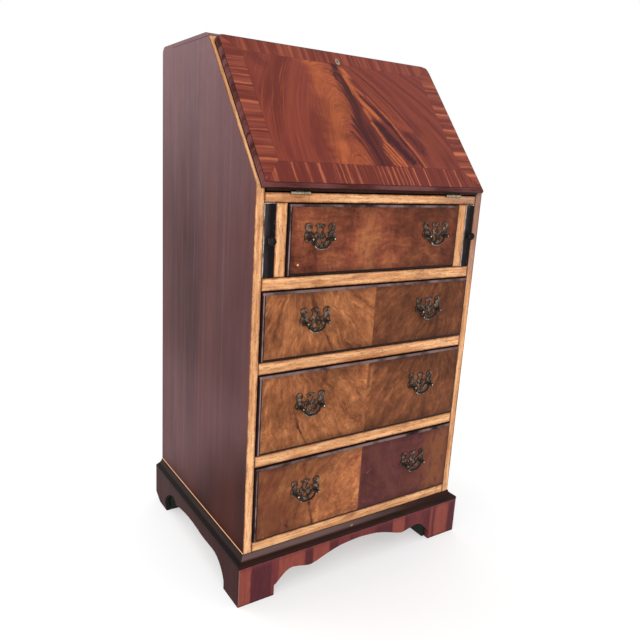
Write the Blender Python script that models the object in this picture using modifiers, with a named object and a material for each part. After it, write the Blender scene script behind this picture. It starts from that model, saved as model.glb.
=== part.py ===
"""Fall-front bureau: a sloped fall on two lopers over four drawers, on a plinth with bracket feet."""
import math

import bmesh
import bpy
from mathutils import Matrix, Vector

# Clearances that all pieces share
seat_gap = 0.0003
slide_gap = 0.0006
fit_gap = 0.0004
cut_overrun = 0.002
weld_distance = 0.00001
flat_angle = 0.002

# Carcase
carcase_width = 0.510
carcase_depth = 0.415
side_thickness = 0.017
top_depth = 0.2204
top_thickness = 0.016
top_lap = 0.0075
top_lap_back_stop = 0.062
top_back_radius = 0.013
top_front_radius = 0.011
back_thickness = 0.009
back_inset = 0.004
divider_thickness = 0.0215
bottom_board_thickness = 0.0215
bottom_board_rise = 0.0152
partition_thickness = 0.0215

# Heights of the drawer openings, from the top drawer down
drawer_openings = (0.1232, 0.1238, 0.150, 0.148)

# Writing compartment
bed_thickness = 0.0159
top_rail_depth = 0.026
compartment_height = 0.2604
slope_start_rise = 0.0142
fitment_depth = 0.135
fitment_thickness = 0.007
fitment_shelf_share = 0.43
upright_hollow = 0.034

# Plinth and base moulding
plinth_height = 0.0775
plinth_projection = 0.015
plinth_thickness = 0.012
moulding_height = 0.018
moulding_lip = 0.0042
foot_block_width = 0.070
foot_block_round = 0.026
front_foot_width = 0.0755
side_front_foot_width = 0.060
side_back_foot_width = 0.070
front_arch_height = 0.0625
side_arch_height = 0.055
back_foot_cut_width = 0.026
back_foot_cut_height = 0.015

# Fall
lip_overlap = 0.010
lip_top_overlap = 0.006
fall_top_margin = 0.007
fall_side_gap = 0.001
fall_top_gap = 0.0006
fall_corner_radius = 0.018
fall_edge_radius = 0.0055
fall_edge_step = 0.0010

# Butt hinges
hinge_width = 0.038
hinge_from_side = 0.0815
knuckle_radius = 0.0026
hinge_pin_radius = 0.0012
leaf_length = 0.021
leaf_thickness = 0.0012

# Lock and escutcheon
lock_width = 0.046
lock_height = 0.034
lock_depth = 0.0062
bolt_width = 0.014
bolt_thickness = 0.0036
bolt_length = 0.013
bolt_throw = 0.005
bolt_depth = 0.0034
keyhole_drop = 0.0283
keyhole_radius = 0.0017
keyhole_slot_width = 0.0016
keyhole_slot_length = 0.0046
escutcheon_width = 0.0098
escutcheon_height = 0.0160
escutcheon_thickness = 0.0008

# Lopers
loper_opening_width = 0.022
loper_length = 0.330
loper_top_gap = 0.0008
knob_radius = 0.0075
knob_length = 0.0160
knob_spigot_radius = 0.0030
knob_spigot_length = 0.0080

# Drawers
drawer_gap = 0.0012
drawer_under_gap = 0.0005
drawer_proud = 0.0055
drawer_front_thickness = 0.0200
drawer_edge_radius = 0.0045
drawer_edge_step = 0.0008
drawer_wall = 0.008
drawer_bottom = 0.006
drawer_top_setback = 0.008
drawer_back_space = 0.014
edge_fillet = 0.0005

# Batwing handles
handle_from_side = 0.123
handle_rises = (0.003, 0.003, 0.006, 0.006)
plate_width = 0.064
plate_height = 0.042
plate_thickness = 0.0016
post_spacing = 0.044
post_height = 0.0145
post_base_radius = 0.0044
post_head_radius = 0.0036
bail_axis_height = 0.0107
bail_wire_radius = 0.0015
bail_drop = 0.0170
bail_pin_reach = 0.0016
bail_pin_straight = 0.0046
bail_hole_depth = 0.0021
bail_gap = 0.0004

# Half of the front apron from the foot to the middle: share of the way in, share of the arch height
front_arch_shares = (
    (0.000, 0.340), (0.020, 0.370), (0.069, 0.520), (0.100, 0.610), (0.131, 0.683), (0.167, 0.733),
    (0.203, 0.747), (0.265, 0.717), (0.337, 0.656), (0.393, 0.621), (0.424, 0.627), (0.481, 0.672),
    (0.548, 0.744), (0.614, 0.816), (0.692, 0.886), (0.769, 0.941), (0.841, 0.966), (0.918, 0.986),
    (1.000, 1.000))

# Side apron from the front foot to the scroll cut in the back foot: share of the way, share of the height
side_arch_shares = (
    (0.000, 0.300), (0.015, 0.470), (0.043, 0.667), (0.070, 0.790), (0.106, 0.896), (0.137, 0.942),
    (0.167, 0.960), (0.230, 0.951), (0.294, 0.936), (0.360, 0.940), (0.430, 0.978), (0.500, 1.000),
    (0.571, 0.996), (0.644, 0.964), (0.721, 0.911), (0.774, 0.855), (0.804, 0.818), (0.826, 0.890),
    (0.849, 0.975), (0.870, 1.005), (0.891, 0.995), (0.920, 0.950), (0.943, 0.890), (0.975, 0.780),
    (1.002, 0.640), (1.027, 0.460), (1.033, 0.350), (1.031, 0.260), (1.018, 0.150))

# Base moulding from its top edge out to its foot: share of the projection, share of the height
moulding_shares = (
    (0.00, 1.00), (0.07, 1.00), (0.10, 0.86), (0.16, 0.73), (0.26, 0.63), (0.40, 0.54),
    (0.58, 0.46), (0.78, 0.38), (0.93, 0.32))

# Half of the batwing plate, top middle to bottom middle: shares of its half width and of its height
# above the posts, and whether the outline turns sharply there
plate_outline_shares = (
    (0.000, 0.500, False), (0.110, 0.529, False), (0.230, 0.555, False), (0.330, 0.519, True),
    (0.260, 0.429, False), (0.230, 0.321, False), (0.345, 0.221, False), (0.463, 0.300, False),
    (0.456, 0.443, True), (0.594, 0.552, False), (0.863, 0.629, True), (0.900, 0.464, False),
    (0.863, 0.314, False), (0.981, 0.167, False), (0.988, 0.000, False), (0.894, -0.143, False),
    (0.706, -0.176, False), (0.538, -0.190, True), (0.325, -0.276, False), (0.156, -0.357, False),
    (0.000, -0.386, False))

# Piercings of the plate: centre and radii as shares of its half width and height, and their tilt
plate_hole_shares = (
    (0.00, 0.300, 0.100, 0.119, 0.0), (0.00, -0.162, 0.109, 0.093, 0.0),
    (0.30, 0.078, 0.044, 0.095, -0.75), (0.64, 0.450, 0.038, 0.080, -0.98))

# Half of the bail, from the straight pin to the middle: shares of the half spacing and of the drop
bail_shares = ((0.725, 0.150), (0.680, 0.450), (0.575, 0.750), (0.325, 0.945), (0.000, 1.000))
bail_swell_shares = (1.0, 1.0, 1.0, 1.08, 1.20, 1.28, 1.32)

# Turned profiles from the tip down: share of the largest radius, share of the height
post_shares = ((0.0, 1.000), (0.62, 0.950), (1.0, 0.740), (0.66, 0.520), (0.50, 0.440), (0.50, 0.230))
knob_shares = (
    (0.0, 1.000), (0.45, 0.985), (0.85, 0.880), (1.0, 0.700), (0.86, 0.500), (0.52, 0.340),
    (0.50, 0.210), (0.80, 0.110), (0.80, 0.000))

# Levels and places that follow from the sizes above
bottom_board_top = plinth_height + bottom_board_rise + bottom_board_thickness


def opening_levels():
    """Lower and upper level of each drawer opening, from the top drawer down."""
    levels = []
    low = bottom_board_top
    for height in reversed(drawer_openings):
        levels.insert(0, (low, low + height))
        low += height + divider_thickness
    return levels


levels = opening_levels()
bed_underside = levels[0][1]
bed_top = bed_underside + bed_thickness
slope_start = bed_top + slope_start_rise
total_height = bed_top + compartment_height
top_underside = total_height - top_thickness
fitment_shelf_rise = compartment_height * fitment_shelf_share
half_width = carcase_width / 2
inner_half = half_width - side_thickness
plinth_half = half_width + plinth_projection
front_reach = max(drawer_proud + seat_gap + post_height, knob_length, plinth_projection)
front_y = (front_reach - carcase_depth) / 2
back_y = front_y + carcase_depth
back_board_front = back_y - back_inset - back_thickness
plinth_front_y = front_y - plinth_projection

# The slope, and the fall's own frame: its origin on the hinge pin, Y up the slope, Z outward
slope_angle = math.atan2(total_height - slope_start, carcase_depth - top_depth)
pin_forward = knuckle_radius + seat_gap
pin_place = Vector((0.0, front_y - pin_forward, bed_top))
up_slope = Vector((0.0, math.cos(slope_angle), math.sin(slope_angle)))
outward = Vector((0.0, -math.sin(slope_angle), math.cos(slope_angle)))
slope_foot = Vector((0.0, front_y, slope_start))
top_front = Vector((0.0, back_y - top_depth, total_height))
side_edge_level = (slope_foot - pin_place).dot(outward)
fall_thickness = bed_thickness
fall_low = knuckle_radius + fit_gap
fall_high = (top_front - pin_place).dot(up_slope) - fall_top_margin
fall_inner_high = fall_high - lip_top_overlap
fall_half = inner_half + lip_overlap
keyhole_y = fall_high - keyhole_drop

# Turns from a drawn outline to the object: drawn from the side, and drawn from the front
side_view = Matrix(((0, 0, 1), (1, 0, 0), (0, 1, 0))).to_euler()
front_view = Matrix(((1, 0, 0), (0, 0, -1), (0, 1, 0))).to_euler()

raw_wood = ("raw_wood", (0.62, 0.38, 0.20), 0.75, 0.0)
mahogany = ("mahogany", (0.17, 0.07, 0.06), 0.40, 0.0)
veneer = ("flame_veneer", (0.28, 0.10, 0.05), 0.30, 0.0)
walnut = ("drawer_veneer", (0.30, 0.14, 0.06), 0.35, 0.0)
reddish = ("plinth_veneer", (0.30, 0.09, 0.07), 0.35, 0.0)
dark_moulding = ("dark_moulding", (0.04, 0.02, 0.015), 0.35, 0.0)
ebonised = ("ebonised_wood", (0.025, 0.025, 0.028), 0.45, 0.0)
pine = ("secondary_pine", (0.50, 0.34, 0.18), 0.80, 0.0)
block_wood = ("stained_block", (0.03, 0.035, 0.03), 0.70, 0.0)
antique_brass = ("antique_brass", (0.16, 0.13, 0.09), 0.38, 1.0)
bright_brass = ("bright_brass", (0.60, 0.48, 0.28), 0.32, 1.0)
steel = ("steel", (0.35, 0.35, 0.36), 0.40, 1.0)


def clear_scene():
    """Remove what the file opened with."""
    for item in list(bpy.data.objects):
        bpy.data.objects.remove(item, do_unlink=True)


def new_collection(name):
    """Add a collection to the scene."""
    collection = bpy.data.collections.new(name)
    bpy.context.scene.collection.children.link(collection)
    return collection


def finish_material(finish):
    """Material of one finish, made on its first use."""
    name, colour, roughness, metallic = finish
    found = bpy.data.materials.get(name)
    if found:
        return found
    made = bpy.data.materials.new(name)
    made.use_nodes = True
    shader = made.node_tree.nodes["Principled BSDF"]
    shader.inputs["Base Color"].default_value = (*colour, 1.0)
    shader.inputs["Roughness"].default_value = roughness
    shader.inputs["Metallic"].default_value = metallic
    made.diffuse_color = (*colour, 1.0)
    return made


def add_piece(name, mesh, finish, location=(0, 0, 0), rotation=(0, 0, 0), parent=None):
    """Put a mesh in the bureau as one named piece."""
    piece = bpy.data.objects.new(name, mesh)
    bpy.data.collections["fall_front_bureau"].objects.link(piece)
    if not mesh.materials:
        mesh.materials.append(finish_material(finish))
    piece.location = location
    piece.rotation_euler = rotation
    piece.parent = parent
    return piece


def add_axis(name, location, rotation=(0, 0, 0), parent=None):
    """Empty on a joint's axis, which carries the pieces that move together."""
    axis = bpy.data.objects.new(name, None)
    bpy.data.collections["fall_front_bureau"].objects.link(axis)
    axis.empty_display_size = side_thickness
    axis.location = location
    axis.rotation_euler = rotation
    axis.parent = parent
    return axis


def add_cutter(name, mesh, location=(0, 0, 0), rotation=(0, 0, 0), parent=None):
    """Hidden tool for a Boolean modifier."""
    tool = bpy.data.objects.new(name, mesh)
    bpy.data.collections["cutters"].objects.link(tool)
    tool.location = location
    tool.rotation_euler = rotation
    tool.parent = parent
    tool.hide_render = True
    tool.display_type = "WIRE"
    return tool


def combine(piece, tool, operation="DIFFERENCE"):
    """Cut a tool from a piece, or join the two."""
    modifier = piece.modifiers.new(tool.name, "BOOLEAN")
    modifier.operation = operation
    modifier.solver = "EXACT"
    modifier.object = tool


def box_mesh(name, low, high):
    """Box between two corners."""
    low = Vector(low)
    high = Vector(high)
    size = high - low
    shell = bmesh.new()
    matrix = Matrix.Translation((low + high) / 2) @ Matrix.Diagonal((*size, 1.0))
    bmesh.ops.create_cube(shell, size=1.0, matrix=matrix)
    mesh = bpy.data.meshes.new(name)
    shell.to_mesh(mesh)
    shell.free()
    return mesh


def add_board(name, low, high, finish, parent=None):
    """Plain board between two corners, with its origin in its middle."""
    middle = (Vector(low) + Vector(high)) / 2
    mesh = box_mesh(name, Vector(low) - middle, Vector(high) - middle)
    return add_piece(name, mesh, finish, middle, parent=parent)


def bar_mesh(name, radius, length, sides=12):
    """Round bar along X, centred, rolled half a facet so that no arris lies level with its axis."""
    shell = bmesh.new()
    turn = Matrix.Rotation(math.pi / sides, 4, "X") @ Matrix.Rotation(math.pi / 2, 4, "Y")
    bmesh.ops.create_cone(
        shell, cap_ends=True, segments=sides, radius1=radius, radius2=radius, depth=length, matrix=turn)
    mesh = bpy.data.meshes.new(name)
    shell.to_mesh(mesh)
    shell.free()
    return mesh


def evaluated_mesh(source):
    """Mesh of an object as its modifiers leave it."""
    graph = bpy.context.evaluated_depsgraph_get()
    return bpy.data.meshes.new_from_object(source.evaluated_get(graph), depsgraph=graph)


def close_mesh(mesh, flatten):
    """Weld a curve's loose caps, and merge its flat triangles if asked."""
    shell = bmesh.new()
    shell.from_mesh(mesh)
    bmesh.ops.remove_doubles(shell, verts=shell.verts, dist=weld_distance)
    bmesh.ops.dissolve_degenerate(shell, edges=shell.edges, dist=weld_distance)
    if flatten:
        bmesh.ops.dissolve_limit(shell, angle_limit=flat_angle, verts=shell.verts, edges=shell.edges)
    bmesh.ops.recalc_face_normals(shell, faces=shell.faces)
    shell.to_mesh(mesh)
    shell.free()


def curve_to_mesh(name, data, flatten=True):
    """Turn curve data into a closed mesh."""
    guide = bpy.data.objects.new(name, data)
    bpy.context.scene.collection.objects.link(guide)
    bpy.context.view_layer.update()
    mesh = evaluated_mesh(guide)
    mesh.name = name
    bpy.data.objects.remove(guide, do_unlink=True)
    close_mesh(mesh, flatten)
    return mesh


def flat_curve(name, thickness):
    """Filled 2D curve that gives a slab of the thickness."""
    data = bpy.data.curves.new(name, "CURVE")
    data.dimensions = "2D"
    data.fill_mode = "BOTH"
    data.extrude = thickness / 2
    return data


def add_outline(data, points):
    """Closed straight-sided outline."""
    spline = data.splines.new("POLY")
    spline.points.add(len(points) - 1)
    for target, (x, y) in zip(spline.points, points):
        target.co = (x, y, 0.0, 1.0)
    spline.use_cyclic_u = True


def slab_mesh(name, outlines, thickness):
    """Slab with the given outline and holes, from Z = 0 up."""
    data = flat_curve(name, thickness)
    for points in outlines:
        add_outline(data, points)
    mesh = curve_to_mesh(name, data)
    mesh.transform(Matrix.Translation((0.0, 0.0, thickness / 2)))
    return mesh


def arc_points(centre, radius, start, end, steps):
    """Points along an arc, angles in degrees."""
    points = []
    for step in range(steps + 1):
        angle = math.radians(start + (end - start) * step / steps)
        points.append((centre[0] + radius * math.cos(angle), centre[1] + radius * math.sin(angle)))
    return points


def ellipse_points(centre, radii, tilt, steps):
    """Points round a tilted ellipse."""
    points = []
    for step in range(steps):
        angle = math.tau * step / steps
        x = radii[0] * math.cos(angle)
        y = radii[1] * math.sin(angle)
        turned_x = x * math.cos(tilt) - y * math.sin(tilt)
        turned_y = x * math.sin(tilt) + y * math.cos(tilt)
        points.append((centre[0] + turned_x, centre[1] + turned_y))
    return points


def turned_mesh(name, profile, steps):
    """Solid turned about Z from a profile that runs down its outer side."""
    mesh = bpy.data.meshes.new(name)
    points = [(radius, 0.0, height) for radius, height in profile]
    edges = [(index, index + 1) for index in range(len(points) - 1)]
    mesh.from_pydata(points, edges, [])
    guide = bpy.data.objects.new(name, mesh)
    bpy.context.scene.collection.objects.link(guide)
    screw = guide.modifiers.new("turn", "SCREW")
    screw.steps = steps
    screw.render_steps = steps
    screw.use_merge_vertices = True
    screw.merge_threshold = weld_distance
    bpy.context.view_layer.update()
    turned = evaluated_mesh(guide)
    turned.name = name
    bpy.data.objects.remove(guide, do_unlink=True)
    return turned


def shade_round(mesh):
    """Smooth a round piece, with its arrises kept sharp."""
    mesh.shade_smooth()
    mesh.set_sharp_from_angle(angle=math.radians(40))


def highest_face(shell):
    """Upper face of a slab."""
    return max(shell.faces, key=lambda face: face.calc_center_median().z)


def moulded_slab_mesh(name, outline, thickness, edge_radius, step):
    """Slab with a thumbnail edge: a quarter round below a small step, round its upper face."""
    mesh = slab_mesh(name, [outline], thickness - step)
    shell = bmesh.new()
    shell.from_mesh(mesh)
    bmesh.ops.bevel(
        shell, geom=list(highest_face(shell).edges), offset=edge_radius, offset_type="OFFSET", segments=4, profile=0.5,
        affect="EDGES", clamp_overlap=True)
    top = highest_face(shell)
    bmesh.ops.inset_region(shell, faces=[top], thickness=edge_fillet, depth=step, use_even_offset=True)
    bmesh.ops.recalc_face_normals(shell, faces=shell.faces)
    shell.to_mesh(mesh)
    shell.free()
    return mesh


def slope_place(along, level):
    """Point at a distance up the slope and a level out from the fall's inner face, seen from the side."""
    place = pin_place + up_slope * along + outward * level
    return (place.y, place.z)


def add_sides():
    """Two side boards, sloped at the upper front and rebated for the end of the top board."""
    lap_level = total_height - top_lap
    slope_share = (lap_level - slope_start) / (total_height - slope_start)
    lap_front = slope_foot.y + (top_front.y - slope_foot.y) * slope_share
    stop = back_y - top_lap_back_stop
    corner = (back_y - top_back_radius, total_height - top_back_radius)
    outline = [(front_y, plinth_height), (back_y, plinth_height)]
    outline += arc_points(corner, top_back_radius, 0, 90, 6)
    outline += [(stop, total_height), (stop, lap_level), (lap_front, lap_level), (front_y, slope_start)]
    for name, left in (("side_left", -half_width), ("side_right", inner_half)):
        mesh = slab_mesh(name, [outline], side_thickness)
        add_piece(name, mesh, mahogany, (left, 0, 0), side_view)


def add_top_board():
    """Top board, its front edge cut to the slope and rebated for the fall."""
    landing = slope_place(fall_inner_high + fall_top_gap, side_edge_level)
    fall_back = (landing[1] - top_underside) / outward.z
    under_front = (landing[0] - outward.y * fall_back, top_underside)
    front_low = top_front - up_slope * top_front_radius
    back_corner = (back_y - top_back_radius, total_height - top_back_radius)
    outline = [under_front, (back_y, top_underside)]
    outline += arc_points(back_corner, top_back_radius, 0, 90, 6)
    outline += rounded_corner(
        (top_front.y + top_front_radius, total_height), (top_front.y, total_height),
        (front_low.y, front_low.z), 6)
    outline += [landing]
    mesh = slab_mesh("top_board", [outline], carcase_width)
    board = add_piece("top_board", mesh, mahogany, (-half_width, 0, 0), side_view)
    far_front = front_y - cut_overrun
    far_back = back_y + cut_overrun
    low = top_underside - cut_overrun
    high = total_height + cut_overrun
    stop = back_y - top_lap_back_stop - seat_gap
    lap_level = total_height - top_lap + seat_gap
    notch = [(far_front, low), (far_back, low), (far_back, high), (stop, high), (stop, lap_level),
             (far_front, lap_level)]
    reach = side_thickness + seat_gap + cut_overrun
    for side, left in (("left", -half_width - cut_overrun), ("right", inner_half - seat_gap)):
        name = "top_board_notch_" + side
        combine(board, add_cutter(name, slab_mesh(name, [notch], reach), (left, 0, 0), side_view))
    return board


def rounded_corner(start, corner, end, steps):
    """Points of a soft corner between two points, drawn toward the corner between them."""
    points = []
    for step in range(steps + 1):
        share = step / steps
        first = (1 - share) ** 2
        second = 2 * share * (1 - share)
        third = share ** 2
        points.append((
            first * start[0] + second * corner[0] + third * end[0],
            first * start[1] + second * corner[1] + third * end[1]))
    return points


def add_carcase_boards():
    """Back, bottom, dividers, partitions, writing bed and the rail on its front edge."""
    left = -inner_half + seat_gap
    right = inner_half - seat_gap
    back = back_board_front - seat_gap
    bottom_low = bottom_board_top - bottom_board_thickness
    add_board(
        "back_board", (left, back_board_front, bottom_low),
        (right, back_board_front + back_thickness, top_underside - seat_gap), pine)
    add_board("bottom_board", (left, front_y, bottom_low), (right, back, bottom_board_top), raw_wood)
    for number, (low, high) in enumerate(levels[1:], start=1):
        add_board(
            f"divider_{number}", (left, front_y, high), (right, back, high + divider_thickness), raw_wood)
    add_board(
        "writing_bed", (left, front_y + top_rail_depth + seat_gap, bed_underside), (right, back, bed_top), pine)
    rail = add_board(
        "top_rail", (left, front_y, bed_underside), (right, front_y + top_rail_depth, bed_top), raw_wood)
    low, high = levels[0]
    inner = inner_half - loper_opening_width
    for side, sign in (("left", -1), ("right", 1)):
        edges = sorted((sign * inner, sign * (inner - partition_thickness)))
        add_board(
            f"partition_{side}", (edges[0], front_y, low + seat_gap), (edges[1], back, high - seat_gap),
            raw_wood)
    return rail


def add_fitment():
    """Shelf and upright of the pigeonholes at the back of the writing compartment."""
    back = back_board_front - seat_gap
    front = back - fitment_depth
    shelf_low = bed_top + fitment_shelf_rise
    shelf_high = shelf_low + fitment_thickness
    add_board(
        "fitment_shelf", (-inner_half + seat_gap, front, shelf_low),
        (inner_half - seat_gap, back, shelf_high), mahogany)
    low = bed_top + seat_gap
    high = shelf_low - seat_gap
    hollow = [(front, high), *rounded_corner(
        (front, high - fitment_thickness), (front + upright_hollow, (low + high) / 2),
        (front, low + fitment_thickness), 6), (front, low)]
    mesh = slab_mesh("fitment_upright", [[(back, low), (back, high), *hollow]], fitment_thickness)
    add_piece("fitment_upright", mesh, mahogany, (-fitment_thickness / 2, 0, 0), side_view)


def moulding_outline():
    """Section of the base moulding: distance out from the carcase, height above the plinth."""
    reach = plinth_projection - seat_gap
    points = [(0.0, 0.0)]
    points.extend((out * reach, up * moulding_height) for out, up in moulding_shares)
    points.append((reach, moulding_lip))
    points.append((reach, 0.0))
    return points


def mitred_moulding(name, length, near_mitre, far_mitre):
    """Length of base moulding, its mitred ends running on by each point's own distance out."""
    mesh = slab_mesh(name, [moulding_outline()], length)
    for vertex in mesh.vertices:
        if vertex.co.z > length / 2:
            vertex.co.z += vertex.co.x * far_mitre
        else:
            vertex.co.z -= vertex.co.x * near_mitre
    return mesh


def add_base_mouldings():
    """Mitred base moulding on the front and on both sides."""
    low = plinth_height + seat_gap
    mitre_gap = seat_gap * math.sqrt(2)
    face = front_y - seat_gap
    outer = half_width + seat_gap
    front = mitred_moulding("base_moulding_front", 2 * outer, 1, 1)
    turn = Matrix(((0, 0, -1), (-1, 0, 0), (0, 1, 0))).to_euler()
    add_piece("base_moulding_front", front, dark_moulding, (outer, face, low), turn)
    length = back_y - face - mitre_gap
    left = mitred_moulding("base_moulding_left", length, 1, 0)
    turn = Matrix(((-1, 0, 0), (0, 0, 1), (0, 1, 0))).to_euler()
    add_piece("base_moulding_left", left, dark_moulding, (-outer, face + mitre_gap, low), turn)
    right = mitred_moulding("base_moulding_right", length, 0, 1)
    turn = Matrix(((1, 0, 0), (0, 0, -1), (0, 1, 0))).to_euler()
    add_piece("base_moulding_right", right, dark_moulding, (outer, back_y, low), turn)


def front_apron():
    """Outline of the front plinth board, drawn from the front with its middle at X = 0."""
    foot = plinth_half - front_foot_width
    half = [
        (-foot * (1 - along), height * front_arch_height) for along, height in front_arch_shares]
    arch = half + [(-x, y) for x, y in reversed(half[:-1])]
    return [(-plinth_half, 0.0), (-foot, 0.0), *arch, (foot, 0.0), (plinth_half, 0.0),
            (plinth_half, plinth_height), (-plinth_half, plinth_height)]


def side_apron(front_end, back_end):
    """Outline of a side plinth board, drawn from the side."""
    start = front_end + side_front_foot_width
    end = back_end - side_back_foot_width
    arch = [
        (start + (end - start) * along, height * side_arch_height) for along, height in side_arch_shares]
    return [(front_end, 0.0), (start, 0.0), *arch, (end, 0.0), (back_end - back_foot_cut_width, 0.0),
            (back_end, back_foot_cut_height), (back_end, plinth_height), (front_end, plinth_height)]


def add_plinth():
    """Front and side plinth boards with bracket feet, mitred at the front corners."""
    mesh = slab_mesh("plinth_front", [front_apron()], plinth_thickness)
    for vertex in mesh.vertices:
        at_end = abs(abs(vertex.co.x) - plinth_half) < weld_distance
        if at_end and vertex.co.z < weld_distance:
            vertex.co.x -= math.copysign(plinth_thickness, vertex.co.x)
    place = (0, plinth_front_y + plinth_thickness, 0)
    add_piece("plinth_front", mesh, reddish, place, front_view)
    mitre_gap = seat_gap * math.sqrt(2)
    front_end = plinth_front_y + mitre_gap
    for side, sign in (("left", -1), ("right", 1)):
        name = f"plinth_{side}"
        mesh = slab_mesh(name, [side_apron(front_end, back_y)], plinth_thickness)
        inner_level = plinth_thickness if sign < 0 else 0.0
        for vertex in mesh.vertices:
            at_end = abs(vertex.co.x - front_end) < weld_distance
            if at_end and abs(vertex.co.z - inner_level) < weld_distance:
                vertex.co.x += plinth_thickness
        left = -plinth_half if sign < 0 else plinth_half - plinth_thickness
        add_piece(name, mesh, reddish, (left, 0, 0), side_view)


def add_foot_blocks():
    """Corner blocks inside the four feet, rounded toward the middle."""
    outer = plinth_half - plinth_thickness - seat_gap
    front = plinth_front_y + plinth_thickness + seat_gap
    height = plinth_height - seat_gap
    size = foot_block_width
    radius = foot_block_round
    corner = (size - radius, size - radius)
    outline = [(0.0, 0.0), (size, 0.0), *arc_points(corner, radius, 0, 90, 5), (0.0, size)]
    places = {
        "foot_block_front_left": (-outer, front, 0.0),
        "foot_block_front_right": (outer, front, math.pi / 2),
        "foot_block_back_right": (outer, back_y, math.pi),
        "foot_block_back_left": (-outer, back_y, -math.pi / 2)}
    for name, (x, y, turn) in places.items():
        add_piece(name, slab_mesh(name, [outline], height), block_wood, (x, y, 0), (0, 0, turn))


def fall_outline():
    """Outer outline of the fall, its upper corners rounded."""
    radius = fall_corner_radius
    right = (fall_half - radius, fall_high - radius)
    left = (-fall_half + radius, fall_high - radius)
    return [
        (-fall_half, fall_low), (fall_half, fall_low), *arc_points(right, radius, 0, 90, 6),
        *arc_points(left, radius, 90, 180, 6)]


def keyhole_outline():
    """Round hole over a narrow slot, with its middle at the hole."""
    half_slot = keyhole_slot_width / 2
    start = -math.degrees(math.acos(half_slot / keyhole_radius))
    ring = arc_points((0.0, 0.0), keyhole_radius, start, 180 - start, 9)
    return [(-half_slot, -keyhole_slot_length), (half_slot, -keyhole_slot_length), *ring]


def add_fall(axis):
    """Fall board with its lip, thumbnail edge, hinge and lock recesses and keyhole."""
    underside = side_edge_level + seat_gap
    mesh = moulded_slab_mesh(
        "fall_board", fall_outline(), fall_thickness - underside, fall_edge_radius, fall_edge_step)
    mesh.transform(Matrix.Translation((0.0, 0.0, underside)))
    board = add_piece("fall_board", mesh, veneer, parent=axis)
    inner = inner_half - fall_side_gap
    core = box_mesh(
        "fall_core", (-inner, fall_low, 0.0), (inner, fall_inner_high, underside + edge_fillet))
    combine(board, add_cutter("fall_core", core, parent=axis), "UNION")
    for side, sign in (("left", -1), ("right", 1)):
        middle = sign * (half_width - hinge_from_side)
        half = hinge_width / 2 + seat_gap
        recess = box_mesh(
            "fall_hinge_recess", (middle - half, 0.0, -cut_overrun),
            (middle + half, fall_low + leaf_length + seat_gap, leaf_thickness + seat_gap))
        combine(board, add_cutter(f"fall_hinge_recess_{side}", recess, parent=axis))
    half = lock_width / 2 + seat_gap
    recess = box_mesh(
        "fall_lock_recess", (-half, fall_inner_high - lock_height - seat_gap, -cut_overrun),
        (half, fall_inner_high + cut_overrun, lock_depth + seat_gap))
    combine(board, add_cutter("fall_lock_recess", recess, parent=axis))
    depth = fall_thickness + cut_overrun - lock_depth
    keyhole = slab_mesh("fall_keyhole", [keyhole_outline()], depth)
    combine(board, add_cutter("fall_keyhole", keyhole, (0, keyhole_y, lock_depth), parent=axis))
    return board


def add_lock(axis):
    """Lock case in the fall, its bolt, and the bolt's mortise in the top board."""
    low = fall_inner_high - lock_height
    case = add_piece(
        "fall_lock", box_mesh("fall_lock", (-lock_width / 2, low, 0.0),
                              (lock_width / 2, fall_inner_high - 2 * seat_gap, lock_depth)), steel,
        parent=axis)
    half = bolt_width / 2
    near = bolt_depth - bolt_thickness / 2
    far = bolt_depth + bolt_thickness / 2
    top = fall_inner_high - 2 * seat_gap
    slot = box_mesh(
        "lock_slot", (-half - fit_gap, top - bolt_length - 2 * fit_gap, near - fit_gap),
        (half + fit_gap, top + cut_overrun, far + fit_gap))
    combine(case, add_cutter("lock_slot", slot, parent=axis))
    bolt_place = add_axis("lock_bolt_slide", (0, top - bolt_length, bolt_depth), parent=axis)
    bolt = box_mesh("lock_bolt", (-half, 0.0, near - bolt_depth), (half, bolt_length, far - bolt_depth))
    add_piece("lock_bolt", bolt, bright_brass, parent=bolt_place)
    mortise = box_mesh(
        "bolt_mortise", (-half - fit_gap, top, near - fit_gap),
        (half + fit_gap, top + bolt_throw + cut_overrun, far + fit_gap))
    combine(bpy.data.objects["top_board"], add_cutter("bolt_mortise", mortise, parent=axis))


def add_escutcheon(axis):
    """Small oval plate round the keyhole."""
    radii = (escutcheon_width / 2, escutcheon_height / 2)
    hole = keyhole_outline()
    oval = ellipse_points((0.0, -keyhole_slot_length / 3), radii, 0.0, 20)
    mesh = slab_mesh("escutcheon", [oval, hole], escutcheon_thickness)
    add_piece(
        "escutcheon", mesh, bright_brass, (0, keyhole_y, fall_thickness + seat_gap), parent=axis)


def leaf_mesh(name, under):
    """Plain part of a hinge leaf, with the pin on the X axis; under says on which side of it."""
    half = hinge_width / 2
    low, high = sorted((0.0, under * leaf_thickness))
    return box_mesh(name, (-half, knuckle_radius + fit_gap, low), (half, leaf_length, high))


def add_knuckle(leaf, name, offset, width, under, place, parent):
    """Join a knuckle, and the tab that it is rolled from, to a leaf."""
    centre = (place[0] + offset, place[1], place[2])
    barrel = add_cutter(f"{name}_barrel", bar_mesh(name, knuckle_radius, width), centre, parent=parent)
    combine(leaf, barrel, "UNION")
    half = width / 2 - fit_gap
    low, high = sorted((0.0, under * (leaf_thickness - edge_fillet / 2)))
    start = (knuckle_radius + hinge_pin_radius) / 2
    end = knuckle_radius + 2 * fit_gap + edge_fillet
    inset = under * edge_fillet / 4
    tab = box_mesh(name, (-half, start, low + inset), (half, end, high + inset))
    combine(leaf, add_cutter(f"{name}_tab", tab, centre, parent=parent), "UNION")


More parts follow.
